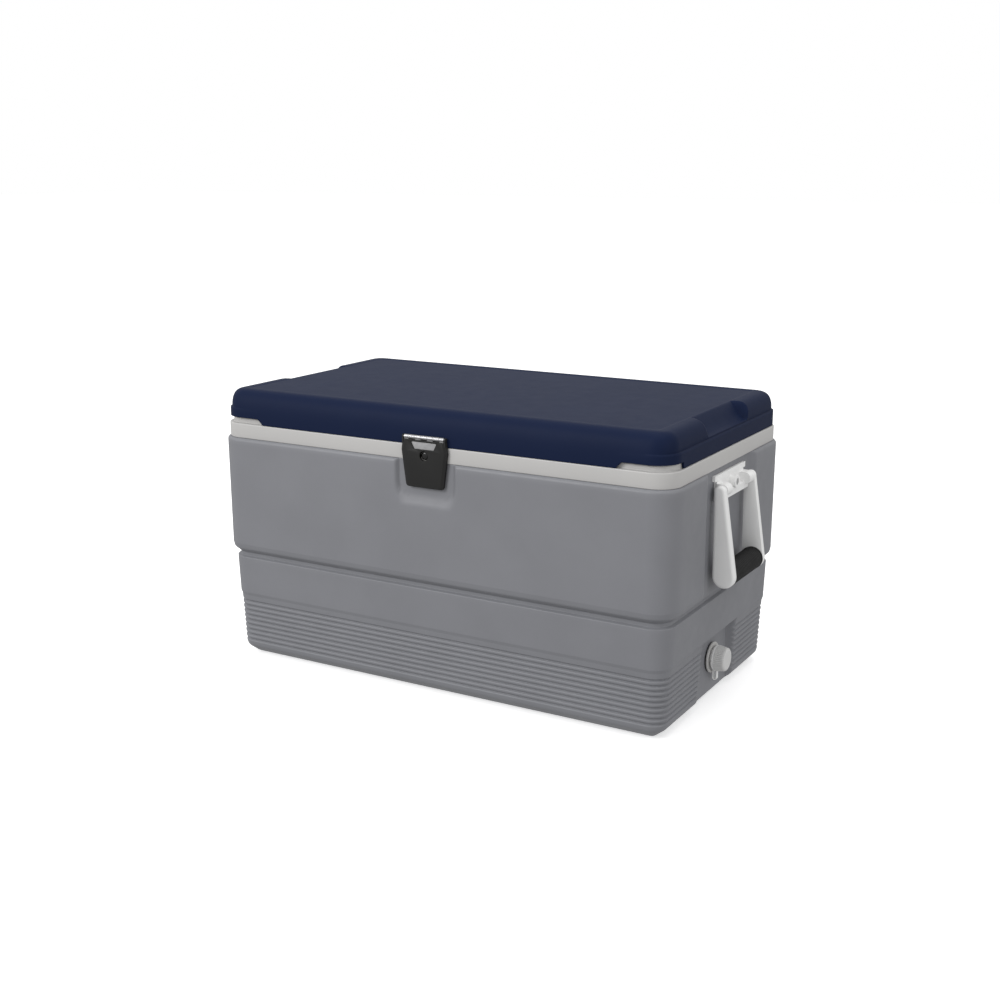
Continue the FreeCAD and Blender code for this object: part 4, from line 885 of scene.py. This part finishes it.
def make_copies():
    """Small mouldings and metalwork that keep their CAD shape, with softer edges."""
    plan = [("drain_spout", "drain_flange", 0.6, TUB_WHITE, "chest", "tub_white"),
            ("drain_tether", "drain_strap", 0.3, HANDLE_WHITE, "cap_tether", "handle_grey"),
            ("latch_leaf_lid", "latch_hinge_upper", 0.15, STEEL, "lid", "steel"),
            ("latch_leaf_plate", "latch_hinge_lower", 0.15, STEEL, "latch", "steel")]
    for word, _ in SIDES:
        for part, level, body in (("hull", "lower", "chest"), ("lid", "upper", "lid")):
            plan.append(("hinge_leaf_%s_%s" % (part, word), "back_hinge_%s_%s" % (level, word), 0.35,
                         HINGE_WHITE, body, "hinge_white"))
    for node, name, width, look, body, slot in plan:
        finished(soften(copied(node, name), width, 2, 35), look, body, slot, node)


# ------------------------------------------------------------------ pieces kept from the frame

KEPT = {"hull_foam": FOAM, "lid_foam": FOAM, "hinge_pins": STEEL, "hinge_screws_hull": STEEL,
        "hinge_screws_lid": STEEL, "latch_hinge_pin": STEEL, "latch_leaf_screws": STEEL,
        "grip_rod_right": STEEL, "grip_rod_left": STEEL, "handle_pivot_pins_right": STEEL,
        "handle_pivot_pins_left": STEEL, "bracket_screws": STEEL, "drain_gasket": RUBBER,
        "drain_inner_nut": TUB_WHITE, "drain_cap_seal": RUBBER}


def dress_kept_nodes():
    """Give the nodes that show their CAD shape a material."""
    for node, look in KEPT.items():
        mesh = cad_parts[node].data
        mesh.materials.clear()
        mesh.materials.append(look)


make_hull()
make_tub()
make_lid()
make_lid_panel()
make_latch()
make_stud()
for side_word, side_sign in SIDES:
    make_bracket(side_word)
    make_grip(side_word, side_sign)
    for arm_word, arm_sign in ENDS:
        make_arm(side_word, side_sign, arm_word, arm_sign)
make_cap()
make_copies()
dress_kept_nodes()

# ------------------------------------------------------------------ stage, light and camera

DIM, BRIGHT = 0.54, 0.86
FLOOR_GLOW = 0.45

# Each light's name, place, aim, size in metres and power in watts.
LIGHTS = [("key", (-1.7, -3.1, 2.1), (0, 0, 0.2), 1.7, 74),
          ("top", (0.2, 0.0, 3.2), (0, 0, 0.3), 2.2, 22),
          ("fill", (3.2, -0.8, 1.1), (0, 0, 0.2), 1.6, 14)]

# The photograph's viewing angle in degrees, and where its camera stood, in metres.
YAW, PITCH, ROLL = 30.075, 14.011, -0.079
CAMERA_PLACE = (1.0098, -1.7427, 0.7463)
SENSOR_WIDTH, FOCAL_LENGTH = 36.0, 50.0


def make_floor():
    """A pale floor that runs out of sight. It gives the object no light of its own."""
    bpy.ops.mesh.primitive_plane_add(size=40, location=(0, 0, CAD_BOX[0].z - 0.0005))
    floor = bpy.context.object
    floor.name = "studio_floor"
    floor.visible_diffuse = False
    floor.visible_glossy = False
    look = bpy.data.materials.new("studio_floor")
    look.use_nodes = True
    shader = look.node_tree.nodes["Principled BSDF"]
    shader.inputs["Base Color"].default_value = (0.90, 0.90, 0.90, 1)
    shader.inputs["Roughness"].default_value = 0.9
    shader.inputs["Specular IOR Level"].default_value = 0.0
    shader.inputs["Emission Color"].default_value = (1, 1, 1, 1)
    shader.inputs["Emission Strength"].default_value = FLOOR_GLOW
    floor.data.materials.append(look)


def make_light(name, place, aim, size, power):
    light = bpy.data.lights.new(name, "AREA")
    light.shape, light.size, light.energy = "DISK", size, power
    lamp = bpy.data.objects.new(name, light)
    lamp.location = place
    lamp.rotation_euler = (Vector(aim) - Vector(place)).to_track_quat("-Z", "Y").to_euler()
    bpy.context.scene.collection.objects.link(lamp)


def make_world():
    """White to the camera. As a light it is bright above and dimmer below, as in a studio."""
    world = bpy.data.worlds.new("studio")
    world.use_nodes = True
    nodes, links = world.node_tree.nodes, world.node_tree.links
    seen, lit = nodes["Background"], nodes.new("ShaderNodeBackground")
    seen.inputs["Color"].default_value = (1, 1, 1, 1)
    seen.inputs["Strength"].default_value = 1.0
    lit.inputs["Color"].default_value = (1.0, 1.0, 1.0, 1)
    apart = nodes.new("ShaderNodeSeparateXYZ")
    links.new(nodes.new("ShaderNodeTexCoord").outputs["Generated"], apart.inputs[0])
    level = map_range(nodes, links, apart.outputs["Z"], -0.25, 0.45, DIM, BRIGHT)
    links.new(level, lit.inputs["Strength"])
    choose = nodes.new("ShaderNodeMixShader")
    links.new(nodes.new("ShaderNodeLightPath").outputs["Is Camera Ray"], choose.inputs["Fac"])
    links.new(lit.outputs["Background"], choose.inputs[1])
    links.new(seen.outputs["Background"], choose.inputs[2])
    links.new(choose.outputs["Shader"], nodes["World Output"].inputs["Surface"])
    bpy.context.scene.world = world


def make_camera():
    """The camera stands at the photograph's angle."""
    yaw, pitch, roll = (math.radians(angle) for angle in (YAW, PITCH, ROLL))
    camera = bpy.data.cameras.new("camera")
    camera.sensor_width, camera.lens = SENSOR_WIDTH, FOCAL_LENGTH
    camera.clip_end = 50
    mount = bpy.data.objects.new("camera", camera)
    ahead = Vector((-math.sin(yaw) * math.cos(pitch), math.cos(yaw) * math.cos(pitch), -math.sin(pitch)))
    right = ahead.cross(Vector((0, 0, 1))).normalized()
    up = right.cross(ahead)
    turn = Matrix((right, up, -ahead)).transposed().to_4x4() @ Matrix.Rotation(roll, 4, "Z")
    mount.matrix_world = Matrix.Translation(CAMERA_PLACE) @ turn
    bpy.context.scene.collection.objects.link(mount)
    bpy.context.scene.camera = mount


make_floor()
make_world()
make_camera()
for light_facts in LIGHTS:
    make_light(*light_facts)
bpy.context.scene.view_settings.view_transform = "Standard"
